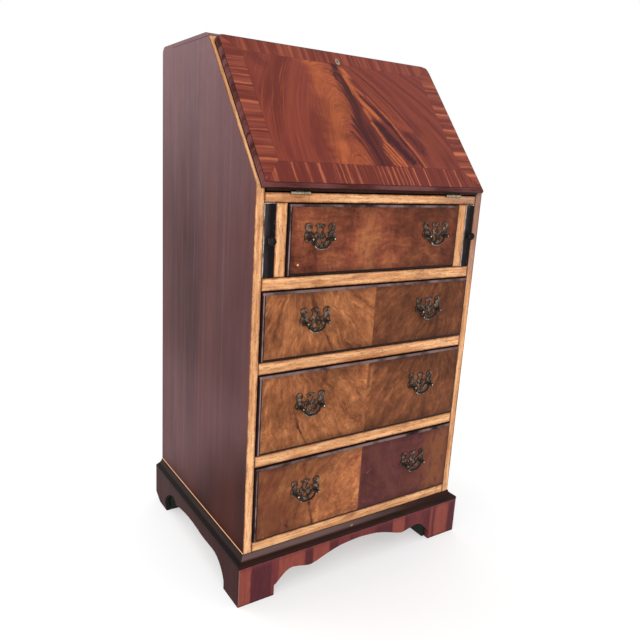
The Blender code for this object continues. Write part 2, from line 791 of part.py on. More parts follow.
def add_hinges(axis, rail):
    """Two butt hinges: a fixed leaf with the pin on the rail, and a moving leaf on the fall."""
    knuckle = hinge_width / 3
    width = knuckle - fit_gap
    for side, sign in (("left", -1), ("right", 1)):
        middle = sign * (half_width - hinge_from_side)
        place = (middle, pin_place.y, pin_place.z)
        name = f"hinge_fixed_{side}"
        fixed = add_piece(name, leaf_mesh(name, -1), bright_brass, place)
        add_knuckle(fixed, f"{name}_near", -knuckle, width, -1, place, None)
        add_knuckle(fixed, f"{name}_far", knuckle, width, -1, place, None)
        pin = add_cutter(
            f"{name}_pin", bar_mesh(name, hinge_pin_radius, hinge_width - knuckle, 10), place)
        combine(fixed, pin, "UNION")
        name = f"hinge_moving_{side}"
        moving = add_piece(name, leaf_mesh(name, 1), bright_brass, (middle, 0, 0), parent=axis)
        add_knuckle(moving, name, 0.0, width, 1, (middle, 0, 0), axis)
        bore = add_cutter(
            f"{name}_bore", bar_mesh(name, hinge_pin_radius + seat_gap, knuckle + cut_overrun, 10),
            (middle, 0, 0), parent=axis)
        combine(moving, bore)
        half = hinge_width / 2 + seat_gap
        recess = box_mesh(
            "rail_hinge_recess", (-half, -cut_overrun, -leaf_thickness - seat_gap),
            (half, leaf_length - pin_forward + seat_gap, cut_overrun))
        combine(rail, add_cutter(f"rail_hinge_recess_{side}", recess, (middle, front_y, bed_top)))


def add_lopers():
    """Two sliding lopers beside the top drawer, each with a turned knob."""
    low = levels[0][0] + drawer_under_gap
    high = bed_underside - loper_top_gap
    middle_z = (low + high) / 2
    half = loper_opening_width / 2 - slide_gap
    knob_profile = [(share * knob_radius, up * knob_length) for share, up in knob_shares]
    knob_profile += [(knob_spigot_radius, 0.0), (knob_spigot_radius, -knob_spigot_length)]
    knob_profile.append((0.0, -knob_spigot_length))
    for side, sign in (("left", -1), ("right", 1)):
        middle = sign * (inner_half - loper_opening_width / 2)
        slide = add_axis(f"loper_slide_{side}", (middle, front_y, middle_z))
        name = f"loper_{side}"
        mesh = box_mesh(name, (-half, 0.0, low - middle_z), (half, loper_length, high - middle_z))
        loper = add_piece(name, mesh, ebonised, parent=slide)
        hole = bar_mesh(name, knob_spigot_radius + seat_gap, 2 * (knob_spigot_length + seat_gap))
        tool = add_cutter(f"{name}_hole", hole, rotation=(0, 0, math.pi / 2), parent=slide)
        combine(loper, tool)
        name = f"loper_knob_{side}"
        mesh = turned_mesh(name, knob_profile, 12)
        shade_round(mesh)
        add_piece(name, mesh, ebonised, (0, -seat_gap, 0), (math.pi / 2, 0, 0), parent=slide)


def post_profile():
    """Outer side of a handle post, from its tip down to its foot inside the plate."""
    points = [(share * post_head_radius, up * post_height) for share, up in post_shares]
    points.append((post_base_radius, plate_thickness + plate_thickness / 2))
    points.append((post_base_radius, plate_thickness / 2))
    points.append((0.0, plate_thickness / 2))
    return points


def plate_curve():
    """Pierced batwing outline as a filled curve."""
    data = flat_curve("batwing_plate", plate_thickness)
    data.resolution_u = 2
    data.render_resolution_u = 0
    half = [
        (x * plate_width / 2, y * plate_height, sharp) for x, y, sharp in plate_outline_shares]
    full = half + [(-x, y, sharp) for x, y, sharp in reversed(half[1:-1])]
    spline = data.splines.new("BEZIER")
    spline.bezier_points.add(len(full) - 1)
    spline.use_cyclic_u = True
    for point, (x, y, sharp) in zip(spline.bezier_points, full):
        point.co = (x, y, 0.0)
        kind = "VECTOR" if sharp else "AUTO"
        point.handle_left_type = kind
        point.handle_right_type = kind
    for x, y, wide, tall, tilt in plate_hole_shares:
        centre = (x * plate_width / 2, y * plate_height)
        radii = (wide * plate_width / 2, tall * plate_height)
        add_outline(data, ellipse_points(centre, radii, tilt, 8))
        if x > 0:
            add_outline(data, ellipse_points((-centre[0], centre[1]), radii, -tilt, 8))
    return data


def handle_plate_mesh():
    """Plate with its two posts, bored on their inner sides for the bail."""
    mesh = curve_to_mesh("handle_plate", plate_curve(), flatten=False)
    mesh.transform(Matrix.Translation((0.0, 0.0, plate_thickness / 2)))
    guide = bpy.data.objects.new("handle_plate_master", mesh)
    bpy.context.scene.collection.objects.link(guide)
    tools = []
    for sign in (-1, 1):
        middle = sign * post_spacing / 2
        post = add_cutter("handle_post", turned_mesh("handle_post", post_profile(), 10), (middle, 0, 0))
        combine(guide, post, "UNION")
        reach = post_head_radius + bail_hole_depth + cut_overrun
        centre = middle + sign * (bail_hole_depth - reach / 2)
        bore = add_cutter(
            "handle_bore", bar_mesh("handle_bore", bail_wire_radius + bail_gap, reach, 8),
            (centre, 0, bail_axis_height))
        combine(guide, bore)
        tools += [post, bore]
    bpy.context.view_layer.update()
    made = evaluated_mesh(guide)
    for item in (guide, *tools):
        bpy.data.objects.remove(item, do_unlink=True)
    shade_round(made)
    made.materials.clear()
    made.name = "handle_plate"
    return made


def bail_mesh():
    """Swan-neck bail, drawn hanging, with its pivot pins on the X axis."""
    data = bpy.data.curves.new("bail", "CURVE")
    data.dimensions = "3D"
    data.bevel_depth = bail_wire_radius
    data.bevel_resolution = 1
    data.use_fill_caps = True
    data.resolution_u = 2
    half_spacing = post_spacing / 2
    half = [(half_spacing + bail_pin_reach, 0.0), (half_spacing - bail_pin_straight, 0.0)]
    half += [(x * half_spacing, -down * bail_drop) for x, down in bail_shares]
    full = half + [(-x, y) for x, y in reversed(half[:-1])]
    swell = list(bail_swell_shares)
    swell += swell[-2::-1]
    spline = data.splines.new("BEZIER")
    spline.bezier_points.add(len(full) - 1)
    last = len(full) - 1
    for number, (point, (x, y)) in enumerate(zip(spline.bezier_points, full)):
        point.co = (x, y, 0.0)
        point.radius = swell[number]
        point.handle_left_type = "VECTOR" if number in (0, 1, last) else "AUTO"
        point.handle_right_type = "VECTOR" if number in (0, last - 1, last) else "AUTO"
    mesh = curve_to_mesh("bail", data, flatten=False)
    shade_round(mesh)
    return mesh


def drawer_front(number, half, low, high, slide):
    """Drawer front with its thumbnail edge, standing a little proud of the rails."""
    name = f"drawer_front_{number}"
    outline = [(-half, low), (half, low), (half, high), (-half, high)]
    mesh = moulded_slab_mesh(
        name, outline, drawer_front_thickness, drawer_edge_radius, drawer_edge_step)
    return add_piece(name, mesh, walnut, (0, drawer_front_thickness - drawer_proud, 0), front_view, slide)


def drawer_box(number, half, low, high, slide):
    """Drawer sides, back and bottom, open at the top and closed by the front."""
    name = f"drawer_box_{number}"
    front = drawer_front_thickness - drawer_proud + seat_gap
    back = back_board_front - front_y - drawer_back_space
    mesh = box_mesh(name, (-half, front, low), (half, back, high))
    box = add_piece(name, mesh, pine, parent=slide)
    inside = box_mesh(
        name, (-half + drawer_wall, front - cut_overrun, low + drawer_bottom),
        (half - drawer_wall, back - drawer_wall, high + cut_overrun))
    combine(box, add_cutter(f"{name}_inside", inside, parent=slide))


def add_drawers():
    """Four drawers with two handles each; the top one runs between the partitions."""
    plate = handle_plate_mesh()
    bail = bail_mesh()
    top_half = inner_half - loper_opening_width - partition_thickness
    for number, (low, high) in enumerate(levels, start=1):
        half = (top_half if number == 1 else inner_half) - drawer_gap
        middle = (low + high) / 2
        slide = add_axis(f"drawer_slide_{number}", (0, front_y, middle))
        floor = low - middle
        ceiling = high - middle
        drawer_front(number, half, floor + drawer_gap, ceiling - drawer_gap, slide)
        box_high = ceiling - drawer_top_setback
        drawer_box(number, half, floor + drawer_under_gap, box_high, slide)
        for side, sign in (("left", -1), ("right", 1)):
            x = sign * (half_width - handle_from_side)
            z = handle_rises[number - 1]
            face = -drawer_proud - seat_gap
            add_piece(
                f"handle_plate_{number}_{side}", plate, antique_brass, (x, face, z), front_view, slide)
            pivot = (x, face - bail_axis_height, z)
            add_piece(f"bail_{number}_{side}", bail, antique_brass, pivot, front_view, slide)


def main():
    """Build the bureau."""
    clear_scene()
    new_collection("fall_front_bureau")
    new_collection("cutters")
    add_sides()
    add_top_board()
    rail = add_carcase_boards()
    add_fitment()
    add_base_mouldings()
    add_plinth()
    add_foot_blocks()
    fall_axis = add_axis("fall_axis", pin_place, (slope_angle, 0, 0))
    add_fall(fall_axis)
    add_lock(fall_axis)
    add_escutcheon(fall_axis)
    add_hinges(fall_axis, rail)
    add_lopers()
    add_drawers()
    bpy.context.view_layer.update()


main()
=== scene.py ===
"""Fall-front bureau, dressed: boards, mouldings, veneers and brass fittings on the loaded frame."""

import math

import bpy
from bpy.props import FloatProperty, FloatVectorProperty, PointerProperty
from mathutils import Matrix, Vector


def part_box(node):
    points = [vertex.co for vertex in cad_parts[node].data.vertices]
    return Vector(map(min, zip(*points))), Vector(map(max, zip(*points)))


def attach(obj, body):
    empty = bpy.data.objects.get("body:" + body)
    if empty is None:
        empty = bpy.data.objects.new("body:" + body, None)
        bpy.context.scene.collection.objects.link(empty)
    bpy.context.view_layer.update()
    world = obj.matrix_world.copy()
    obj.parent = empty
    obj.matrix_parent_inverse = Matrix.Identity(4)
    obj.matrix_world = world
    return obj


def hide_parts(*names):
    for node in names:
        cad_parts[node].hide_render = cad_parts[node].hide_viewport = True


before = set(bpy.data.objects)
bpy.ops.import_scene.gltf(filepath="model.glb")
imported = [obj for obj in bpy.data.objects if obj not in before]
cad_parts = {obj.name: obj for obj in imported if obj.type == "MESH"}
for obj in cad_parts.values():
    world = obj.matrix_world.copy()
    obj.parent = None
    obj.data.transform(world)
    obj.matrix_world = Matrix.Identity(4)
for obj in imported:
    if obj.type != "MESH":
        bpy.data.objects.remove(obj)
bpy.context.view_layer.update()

bl_info = {
    "name": "Fall-front Bureau",
    "version": (1, 0, 0),
    "blender": (4, 5, 0),
    "location": "View3D > Sidebar > Bureau",
    "description": "Dresses a fall-front bureau with veneers, mouldings and pierced brass handles",
    "category": "Object",
}

# Places that the finishes and pieces take from the frame, in metres
bed_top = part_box("top_rail")[1].z
front_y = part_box("side_right")[0].y
case_inner, case_outer = (corner.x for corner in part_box("side_right"))
fall_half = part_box("fall_board")[1].x
moulding_foot, moulding_top = (corner.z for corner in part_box("base_moulding_front"))
plinth_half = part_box("plinth_front")[1].x
drawer_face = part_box("drawer_front_1")[0].y

# The fall's hinge pins, the way up its slope, and places that far up it from the pins
pin_y = -0.20025
slope_y = 0.6201
slope_z = 0.7845
fall_foot, field_foot, field_head, fall_head = 0.003, 0.050, 0.284, 0.3198
field_half = 0.2065

sides = ("left", "right")
drawers = (1, 2, 3, 4)
millimetre = 0.001

# Points of a mesh closer than this are merged, and those of the plates and bails closer than fine_weld
weld = 0.01 * millimetre
fine_weld = 0.005 * millimetre


def linear(red, green, blue):
    """A colour on the usual 0 to 255 scale, as the nodes take it."""
    parts = [part / 255 for part in (red, green, blue)]
    return tuple(p / 12.92 if p <= 0.04045 else ((p + 0.055) / 1.055) ** 2.4 for p in parts)


def colour_prop(name, description, *default):
    """A colour that a user can change."""
    return FloatVectorProperty(name=name, description=description, default=linear(*default),
                               subtype="COLOR", size=3, min=0.0, max=1.0)


def length_prop(name, description, default):
    """A length that a user can change, in metres."""
    return FloatProperty(name=name, description=description, default=default, min=0.0,
                         unit="LENGTH", precision=5)


class BUREAU_PG_sizes(bpy.types.PropertyGroup):
    """Sizes of what is dressed here."""

    arris: length_prop("Arris", "How far the edges of the boards are eased", 0.0006)
    loper_arris: length_prop("Loper arris", "How far the lopers' edges are eased", 0.0009)
    fitting_arris: length_prop("Fitting arris", "Easing of hinges, lock and escutcheon", 0.0002)
    fine_arris: length_prop("Fine arris", "Easing of the moulding and drawer fronts", 0.0003)
    plinth_arris: length_prop("Plinth arris", "Easing of the plinth boards", 0.0009)
    block_arris: length_prop("Block arris", "Easing of the corner blocks", 0.0012)
    plate_thickness: length_prop("Plate", "Thickness of the pierced back plates", 0.0014)
    plate_edge: length_prop("Plate edge", "Chamfer round the back plates and their piercings", 0.0004)
    bail_wire: length_prop("Bail", "Radius of the bails at their pins", 0.0015)
    light_size: length_prop("Light size", "Side of each of the two soft lights", 3.2)


class BUREAU_PG_colours(bpy.types.PropertyGroup):
    """Colours of the woods, stains and metals."""

    raw_light: colour_prop("Raw wood", "Stripped edges and rails", 248, 192, 140)
    raw_deep: colour_prop("Raw wood, deep", "Deeper bands of the stripped wood", 212, 148, 98)
    raw_stain: colour_prop("Raw wood, stained", "Old stain left along the edges", 132, 74, 46)
    raw_fleck: colour_prop("Raw wood fleck", "Open pores in the stripped wood", 104, 58, 34)
    case_red: colour_prop("Case mahogany", "Stained sides and top", 80, 45, 44)
    case_deep: colour_prop("Case mahogany, deep", "Dark boards of the sides", 60, 34, 36)
    case_pink: colour_prop("Case mahogany, pink", "Pinkish streaks of the sides", 100, 65, 65)
    case_brown: colour_prop("Case mahogany, brown", "Browner streaks of the sides", 96, 52, 38)
    # The next colour is a painted sheen: reflected light greying the upper sides
    case_sheen: colour_prop("Case bloom", "Greyed old polish", 129, 95, 99)
    # The next two colours paint shade low at the front of the left side; the first is also a dark tone of
    # the plinth sides
    case_dark_and_shade: colour_prop("Case, darkest", "Unfaded wood low on the sides", 50, 20, 16)
    case_low_shade: colour_prop("Case, unfaded", "Browner unfaded wood", 70, 30, 22)
    fall_red: colour_prop("Fall mahogany", "Ground of the fall's field", 126, 56, 44)
    fall_deep: colour_prop("Fall mahogany, deep", "Dark grain of the fall's field", 102, 42, 34)
    fall_orange: colour_prop("Flame", "Glow beside the plume", 142, 68, 42)
    fall_gold: colour_prop("Flame, light", "Lightest streaks of the flame", 174, 92, 52)
    plume: colour_prop("Plume", "Dark heart of the crotch figure", 62, 24, 28)
    band_light: colour_prop("Crossbanding, light", "Light stripes of the crossbanding", 182, 100, 68)
    band_mid: colour_prop("Crossbanding", "Ground of the crossbanding", 136, 66, 50)
    band_deep: colour_prop("Crossbanding, deep", "Dark stripes of the crossbanding", 106, 44, 36)
    fall_edge: colour_prop("Fall edge", "Thumbnail edge of the fall", 70, 30, 26)
    fall_edge_rubbed: colour_prop("Fall edge, rubbed", "Paler stretches of that edge", 112, 64, 62)
    leaf_gold: colour_prop("Drawer gold", "Lightest figure of the drawer fronts", 176, 113, 70)
    leaf_amber: colour_prop("Drawer amber", "Golden ground of the drawer fronts", 144, 86, 52)
    leaf_brown: colour_prop("Drawer brown", "Brown ground of the drawer fronts", 116, 66, 40)
    leaf_umber: colour_prop("Drawer umber", "Darker leaves of the drawer fronts", 94, 48, 28)
    leaf_red: colour_prop("Drawer red", "Redder leaves of the drawer fronts", 124, 64, 44)
    leaf_purple: colour_prop("Drawer purple", "Darkest, purplish leaf", 102, 56, 48)
    leaf_plum: colour_prop("Drawer plum", "Dark figure of the purplish leaf", 88, 44, 44)
    leaf_dark: colour_prop("Drawer dark", "Dark figure of the drawer fronts", 64, 28, 18)
    # The next colour is the drawers' dark moulding, partly painted shade round the drawers, and painted
    # shadow on the fall's edges
    drawer_edge: colour_prop("Drawer edge", "Dark moulding round the drawer fronts", 30, 18, 18)
    # The next colour is a painted highlight on the drawers' left mouldings and the plinth's edges, partly
    # wear, and greys the right front edge
    edge_rubbed: colour_prop("Drawer edge, rubbed", "Greyed upper and left mouldings", 138, 112, 112)
    moulding_dark: colour_prop("Moulding", "Stained base moulding", 18, 9, 8)
    moulding_brown: colour_prop("Moulding, brown", "Thinner stain of the moulding", 46, 22, 15)
    # The next colour is a painted highlight in the moulding's hollow and on the drawers' upper mouldings,
    # and the lopers' painted sheen; scuffs and the blocks' bare wood take it too
    moulding_grey: colour_prop("Moulding, greyed", "Old polish in the moulding's hollow", 126, 102, 100)
    plinth_light: colour_prop("Plinth, light", "Light stripes of the plinth", 136, 68, 58)
    plinth_mid: colour_prop("Plinth", "Middle stripes of the plinth", 110, 50, 52)
    plinth_deep: colour_prop("Plinth, deep", "Dark stripes of the plinth", 84, 39, 44)
    plinth_flank: colour_prop("Plinth, sides", "Darker sides of the plinth", 58, 28, 27)
    ebony: colour_prop("Ebonised wood", "Lopers and their knobs", 20, 18, 20)
    block_stain: colour_prop("Corner block", "Stained corner blocks", 26, 32, 26)
    pine: colour_prop("Pine", "Drawer boxes, back and bed", 196, 156, 106)
    pine_deep: colour_prop("Pine, deep", "Late wood of the pine", 158, 112, 66)
    brass_old: colour_prop("Old brass", "Patina of the handles", 44, 33, 26)
    brass_worn: colour_prop("Worn brass", "Rubbed faces of the handles", 124, 106, 94)
    # The next colour is partly polish and partly a painted highlight on the post tips and bails, and on the
    # lopers' pale edges
    brass_tip: colour_prop("Brass, bright", "Polished tips of the posts", 214, 208, 198)
    brass_bright: colour_prop("Hinge brass", "Hinges, bolt and escutcheon", 166, 156, 132)
    steel: colour_prop("Steel", "Case of the lock", 120, 122, 126)
    floor: colour_prop("Floor", "Plain floor", 198, 198, 198)


def sums(operation):
    """How a value on the left of a sum, and one on its right, adds the Math node."""
    return (lambda self, other: self.finish.math(operation, self, other),
            lambda self, other: self.finish.math(operation, other, self))


class Value:
    """A number that changes over a surface: sums on it add their Math nodes."""

    __add__, __radd__ = sums("ADD")
    __sub__, __rsub__ = sums("SUBTRACT")
    __mul__, __rmul__ = sums("MULTIPLY")
    __truediv__, __rtruediv__ = sums("DIVIDE")
    __pow__, __rpow__ = sums("POWER")

    def __init__(self, finish, socket):
        self.finish = finish
        self.socket = socket

    def __abs__(self):
        return self.finish.math("ABSOLUTE", self)


class Finish:
    """One procedural material on Object coordinates, and the nodes that paint it."""

    def __init__(self, name, roughness, gloss, **fixed):
        self.material = bpy.data.materials.new(name)
        self.material.use_nodes = True
        self.tree = self.material.node_tree
        self.shader = self.tree.nodes["Principled BSDF"]
        self.shader.inputs["Roughness"].default_value = roughness
        self.shader.inputs["Specular IOR Level"].default_value = gloss
        for socket, value in fixed.items():
            self.shader.inputs[socket.replace("_", " ")].default_value = value

    def node(self, kind, settings=None, inputs=None):
        """A node of that kind: its settings first, then the values or links of its sockets."""
        node = self.tree.nodes.new("ShaderNode" + kind)
        for name, setting in (settings or {}).items():
            if name == "stops":
                self.set_stops(node.color_ramp, setting)
            elif name == "points":
                self.set_points(node.mapping, setting)
            else:
                setattr(node, name, setting)
        for name, given in (inputs or {}).items():
            self.feed(node.inputs[name], given)
        return node

    def set_stops(self, ramp, stops):
        """Gives a colour ramp its places and colours."""
        for place, colour in stops[2:]:
            ramp.elements.new(place)
        for element, (place, colour) in zip(ramp.elements, sorted(stops, key=lambda stop: stop[0])):
            element.position = place
            element.color = (*colour, 1.0)

    def set_points(self, mapping, points):
        """Gives a float curve its points."""
        line = mapping.curves[0]
        for place, height in points[2:]:
            line.points.new(place, height)
        for point, (place, height) in zip(line.points, sorted(points)):
            point.location = (place, height)
            point.handle_type = "AUTO_CLAMPED"
        mapping.update()

    def feed(self, socket, given):
        """Links a value or an output to a socket, or sets a constant on it."""
        if isinstance(given, Value):
            given = given.socket
        if isinstance(given, bpy.types.NodeSocket):
            self.tree.links.new(given, socket)
        elif hasattr(given, "__len__") and len(given) == 3 and socket.type == "RGBA":
            socket.default_value = (*given, 1.0)
        else:
            socket.default_value = given

    def math(self, operation, first, second=0.0):
        """One Math node."""
        node = self.node("Math", {"operation": operation}, {0: first, 1: second})
        return Value(self, node.outputs[0])

    def place(self):
        """The surface's x, y and z in the object's frame."""
        where = self.node("TexCoord").outputs["Object"]
        parts = self.node("SeparateXYZ", None, {0: where}).outputs
        return [Value(self, part) for part in parts]

    def noise(self, x, y, z, detail=4.0, roughness=0.5):
        """Soft noise from 0 to 1, with cells about 1 wide in each direction."""
        at = self.node("CombineXYZ", None, {0: x, 1: y, 2: z}).outputs[0]
        node = self.node("TexNoise", None, {"Vector": at, "Scale": 1.0, "Detail": detail,
                                            "Roughness": roughness, "Distortion": 0.0})
        return Value(self, node.outputs["Fac"])

    def ragged(self, x, y, z, reach, **settings):
        """Noise about zero, no further than half of reach to each side."""
        return (self.noise(x, y, z, **settings) - 0.5) * reach

    def smooth(self, value, low, high):
        """0 up to low, 1 from high, and a soft step between them."""
        node = self.node("MapRange", {"interpolation_type": "SMOOTHSTEP"},
                         {"Value": value, "From Min": low, "From Max": high})
        return Value(self, node.outputs["Result"])

    def profile(self, value, points):
        """A smooth curve through points (place, height)."""
        places, heights = zip(*points)
        low, high = min(places), max(places)
        floor, ceiling = min(heights), max(heights)
        share = [((p - low) / (high - low), (h - floor) / (ceiling - floor)) for p, h in points]
        node = self.node("FloatCurve", {"points": share}, {"Value": (value - low) * (1 / (high - low))})
        return Value(self, node.outputs[0]) * (ceiling - floor) + floor

    def larger(self, first, second):
        """The larger of two values."""
        return self.math("MAXIMUM", first, second)

    def smaller(self, first, second):
        """The smaller of two values."""
        return self.math("MINIMUM", first, second)

    def stroke(self, u, v, start, end, width):
        """1 on the line from start to end, fading out a width from it."""
        du, dv = end[0] - start[0], end[1] - start[1]
        along = ((u - start[0]) * du + (v - start[1]) * dv) * (1 / (du * du + dv * dv))
        along = self.smaller(self.larger(along, 0.0), 1.0)
        off = (u - start[0] - along * du) ** 2 + (v - start[1] - along * dv) ** 2
        return self.smooth(self.math("SQRT", off), width, 0.0)

    def mix(self, factor, first, second):
        """Two colours mixed."""
        return self.node("Mix", {"data_type": "RGBA"}, {0: factor, 6: first, 7: second}).outputs[2]

    def ramp(self, value, stops):
        """A colour for each value, between the stops."""
        return self.node("ValToRGB", {"stops": stops}, {0: value}).outputs[0]

    def shade(self, colour, value, low, high):
        """The colour made darker or lighter: times low where value is 0, times high where it is 1."""
        grey = value * (high - low) + low
        tone = self.node("CombineXYZ", None, {0: grey, 1: grey, 2: grey}).outputs[0]
        node = self.node("VectorMath", {"operation": "MULTIPLY"}, {0: colour, 1: tone})
        return node.outputs[0]

    def done(self, colour, roughness=None, height=None, depth=0.0002, metallic=None):
        """Feeds the shader and gives the material."""
        self.feed(self.shader.inputs["Base Color"], colour)
        if roughness is not None:
            self.feed(self.shader.inputs["Roughness"], roughness)
        if metallic is not None:
            self.feed(self.shader.inputs["Metallic"], metallic)
        if height is not None:
            bump = self.node("Bump", None, {"Height": height, "Distance": depth, "Strength": 1.0})
            self.feed(self.shader.inputs["Normal"], bump.outputs[0])
        return self.material


def tones():
    """The colours that the user set."""
    return bpy.context.scene.bureau_colours


def made(name, recipe, *given):
    """The finish of that name, painted by its recipe the first time it is wanted."""
    return bpy.data.materials.get(name) or recipe(name, *given)


def started(name, roughness, gloss, **fixed):
    """A new finish, the user's colours, and the surface's x, y and z."""
    f = Finish(name, roughness, gloss, **fixed)
    return f, tones(), *f.place()


def grain_place(f, along):
    """Along the grain, and the two ways across it."""
    x, y, z = f.place()
    if along == "slope":
        return y * slope_y + z * slope_z, x, z * slope_y - y * slope_z
    return {"x": (x, z, y), "y": (y, x, z), "z": (z, x, y)}[along]


def grained(f, u, v, w):
    """Noise drawn out along the grain, by how fine it is that way and across."""

    def noise(run, across, shift=0.0, **settings):
        return f.noise(u * run + shift, v * across, w * across, **settings)

    return noise


def rim_of(f, node, x, z):
    """How far inside the front face of a CAD node, from its nearest edge."""
    low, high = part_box(node)
    return f.smaller(f.smaller(x - low.x, high.x - x), f.smaller(z - low.z, high.z - z))


def marked(f, colour, x, z, marks, weight=1.0):
    """Single marks on a face, by colour: both ends and half width in millimetres, and strength."""
    for tone, *lines in marks:
        for *line, strength in lines:
            x1, z1, x2, z2, width = (part * millimetre for part in line)
            mark = f.stroke(x, z, (x1, z1), (x2, z2), width)
            colour = f.mix(mark * weight * strength, colour, getattr(tones(), tone))
    return colour


# Joints, a plug and a nick in the stripped rails
rail_marks = {
    "top_rail": (("raw_fleck", (-154.5, 723.7, -154.5, 739.6, 1, 0.9)),),
    "divider_2": (("raw_fleck", (31, 447, 31.3, 447, 3, 0.9)),),
    "divider_3": (("plume", (10, 263, 19, 262.8, 2.6, 1)),),
    "bottom_board": (("raw_fleck", (220, 92.7, 220, 114.2, 1.1, 0.9)),),
}


def raw_wood(name, along, node):
    """Stripped wood: pale bands, open pores, and old stain left along its edges."""
    f, c, x, y, z = started(name, 0.62, 0.12)
    grain = grained(f, *grain_place(f, along))
    bands = grain(6, 130, roughness=0.62)
    streaks = grain(26, 620, roughness=0.6)
    pores = f.smooth(grain(48, 420, roughness=0.66), 0.53, 0.63)
    specks = f.smooth(grain(190, 300, roughness=0.7), 0.55, 0.68)
    cloud = grain(14, 40, shift=4.0)
    warm = grain(9, 26, shift=2.0, detail=3)
    colour = f.mix(f.smooth(bands, 0.36, 0.64), c.raw_light, c.raw_deep)
    colour = f.mix(f.smooth(warm, 0.46, 0.64) * 0.38, colour, c.leaf_gold)
    colour = f.shade(colour, streaks, 0.66, 1.32)
    colour = f.mix(f.smooth(cloud, 0.54, 0.72) * 0.5, colour, c.raw_stain)
    colour = f.mix(pores * 0.48, colour, c.raw_fleck)
    colour = f.mix(specks * 0.45, colour, c.raw_fleck)
    greyed = greyed_stile(f, node, x, z, cloud - 0.5)
    colour = f.mix(greyed * 0.62, colour, c.edge_rubbed)
    colour = f.shade(colour, greyed, 1.0, 0.82)
    ragged = f.ragged(x * 55, z * 55, 7.5, 0.008, detail=5, roughness=0.7)
    rim = rim_of(f, node, x, z)
    colour = f.mix(f.smooth(rim + ragged, 0.0044, -0.0002) * 0.85, colour, c.raw_stain)
    colour = f.mix(f.smooth(rim + ragged * 0.15, 0.0012, 0.0004) * 0.6, colour, c.leaf_dark)
    colour = marked(f, colour, x, z, rail_marks.get(node, ()))
    return f.done(colour, height=streaks - pores * 0.8, depth=0.00012)


def greyed_stile(f, node, x, z, cloud):
    """Where the right front edge and the top rail's right end are greyed."""
    stile = f.smooth(x, case_inner - 0.0015, case_inner + 0.0005)
    upper = f.smooth(z + cloud * 0.3, 0.52, 0.66) * f.smooth(z, bed_top + 0.0354, bed_top + 0.0054)
    if node != "top_rail":
        return stile * upper
    return f.larger(stile * upper, f.smooth(x + cloud * 0.10, 0.10, 0.22) * 0.7)


# How strong the painted sheen is, up the height of the case: reflected light greying the upper sides
sheen_curve = ((0.0, 0.16), (0.16, 0.30), (0.30, 0.30), (0.45, 0.12), (0.62, 0.14), (0.85, 0.42),
               (1.0, 0.68))


def case_mahogany(name, along):
    """Stained mahogany: straight grain, a painted sheen greying it above, and painted shade browning the low
    front of the left side.
    """
    f, c, x, y, z = started(name, 0.36, 0.02)
    grain = grained(f, *grain_place(f, along))
    boards = grain(0.5, 11, detail=2)
    fine = grain(5, 260, roughness=0.62)
    streaks = grain(1.9, 62, detail=3)
    pores = f.smooth(grain(60, 1500, detail=1), 0.60, 0.70)
    colour = f.mix(f.smooth(boards, 0.34, 0.66), c.case_red, c.case_deep)
    colour = f.mix(f.smooth(streaks, 0.54, 0.72) * 0.5, colour, c.case_brown)
    colour = f.mix(f.smooth(streaks, 0.45, 0.30) * 0.34, colour, c.case_pink)
    cloud = f.ragged(y * 7, z * 5, x * 5, 0.35, detail=3)
    # Painted sheen: reflected light greys the upper sides, more towards the top
    painted_sheen = f.profile(f.smaller(f.larger(z, 0.0), 1.0) + cloud * 0.2, sheen_curve)
    colour = f.mix(painted_sheen + cloud, colour, c.case_sheen)
    # Painted shade: the low front of the left side darkened and browner along a soft diagonal
    painted_shade = f.smooth(z + y * 0.62 - 0.160 + cloud * 0.12, 0.110, -0.065) * f.smooth(x, 0.0, -0.2)
    brown = f.mix(f.smooth(boards, 0.4, 0.6), c.case_dark_and_shade, c.case_low_shade)
    colour = f.mix(painted_shade * 0.95, colour, brown)
    colour = f.shade(colour, fine, 0.74, 1.26)
    colour = f.mix(pores * 0.35, colour, c.case_deep)
    if along == "z":
        bare = f.smooth(z, moulding_top + 0.0026, moulding_top + 0.0018)
        bare = bare * f.smooth(abs(x), case_outer - 0.0004, case_outer - 0.0001)
        colour = f.mix(bare, colour, c.raw_light)
    polish_and_sheen = grain(5, 30, detail=3) * 0.18 + 0.26
    return f.done(colour, roughness=polish_and_sheen, height=fine - pores * 0.6, depth=0.00005)


# The plume's middle line, and how far it reaches to each side of it, by place up the slope
plume_line = ((0.283, -0.0097), (0.257, -0.0085), (0.222, -0.0040), (0.188, 0.0000),
              (0.152, -0.0030), (0.125, 0.0010), (0.096, 0.0050), (0.050, 0.0130))
plume_left = ((0.285, 0.006), (0.262, 0.010), (0.232, 0.011), (0.180, 0.008), (0.145, 0.015),
              (0.115, 0.021), (0.085, 0.017), (0.050, 0.019))
plume_right = ((0.285, 0.004), (0.250, 0.007), (0.220, 0.011), (0.180, 0.011), (0.145, 0.018),
               (0.115, 0.024), (0.085, 0.018), (0.050, 0.020))

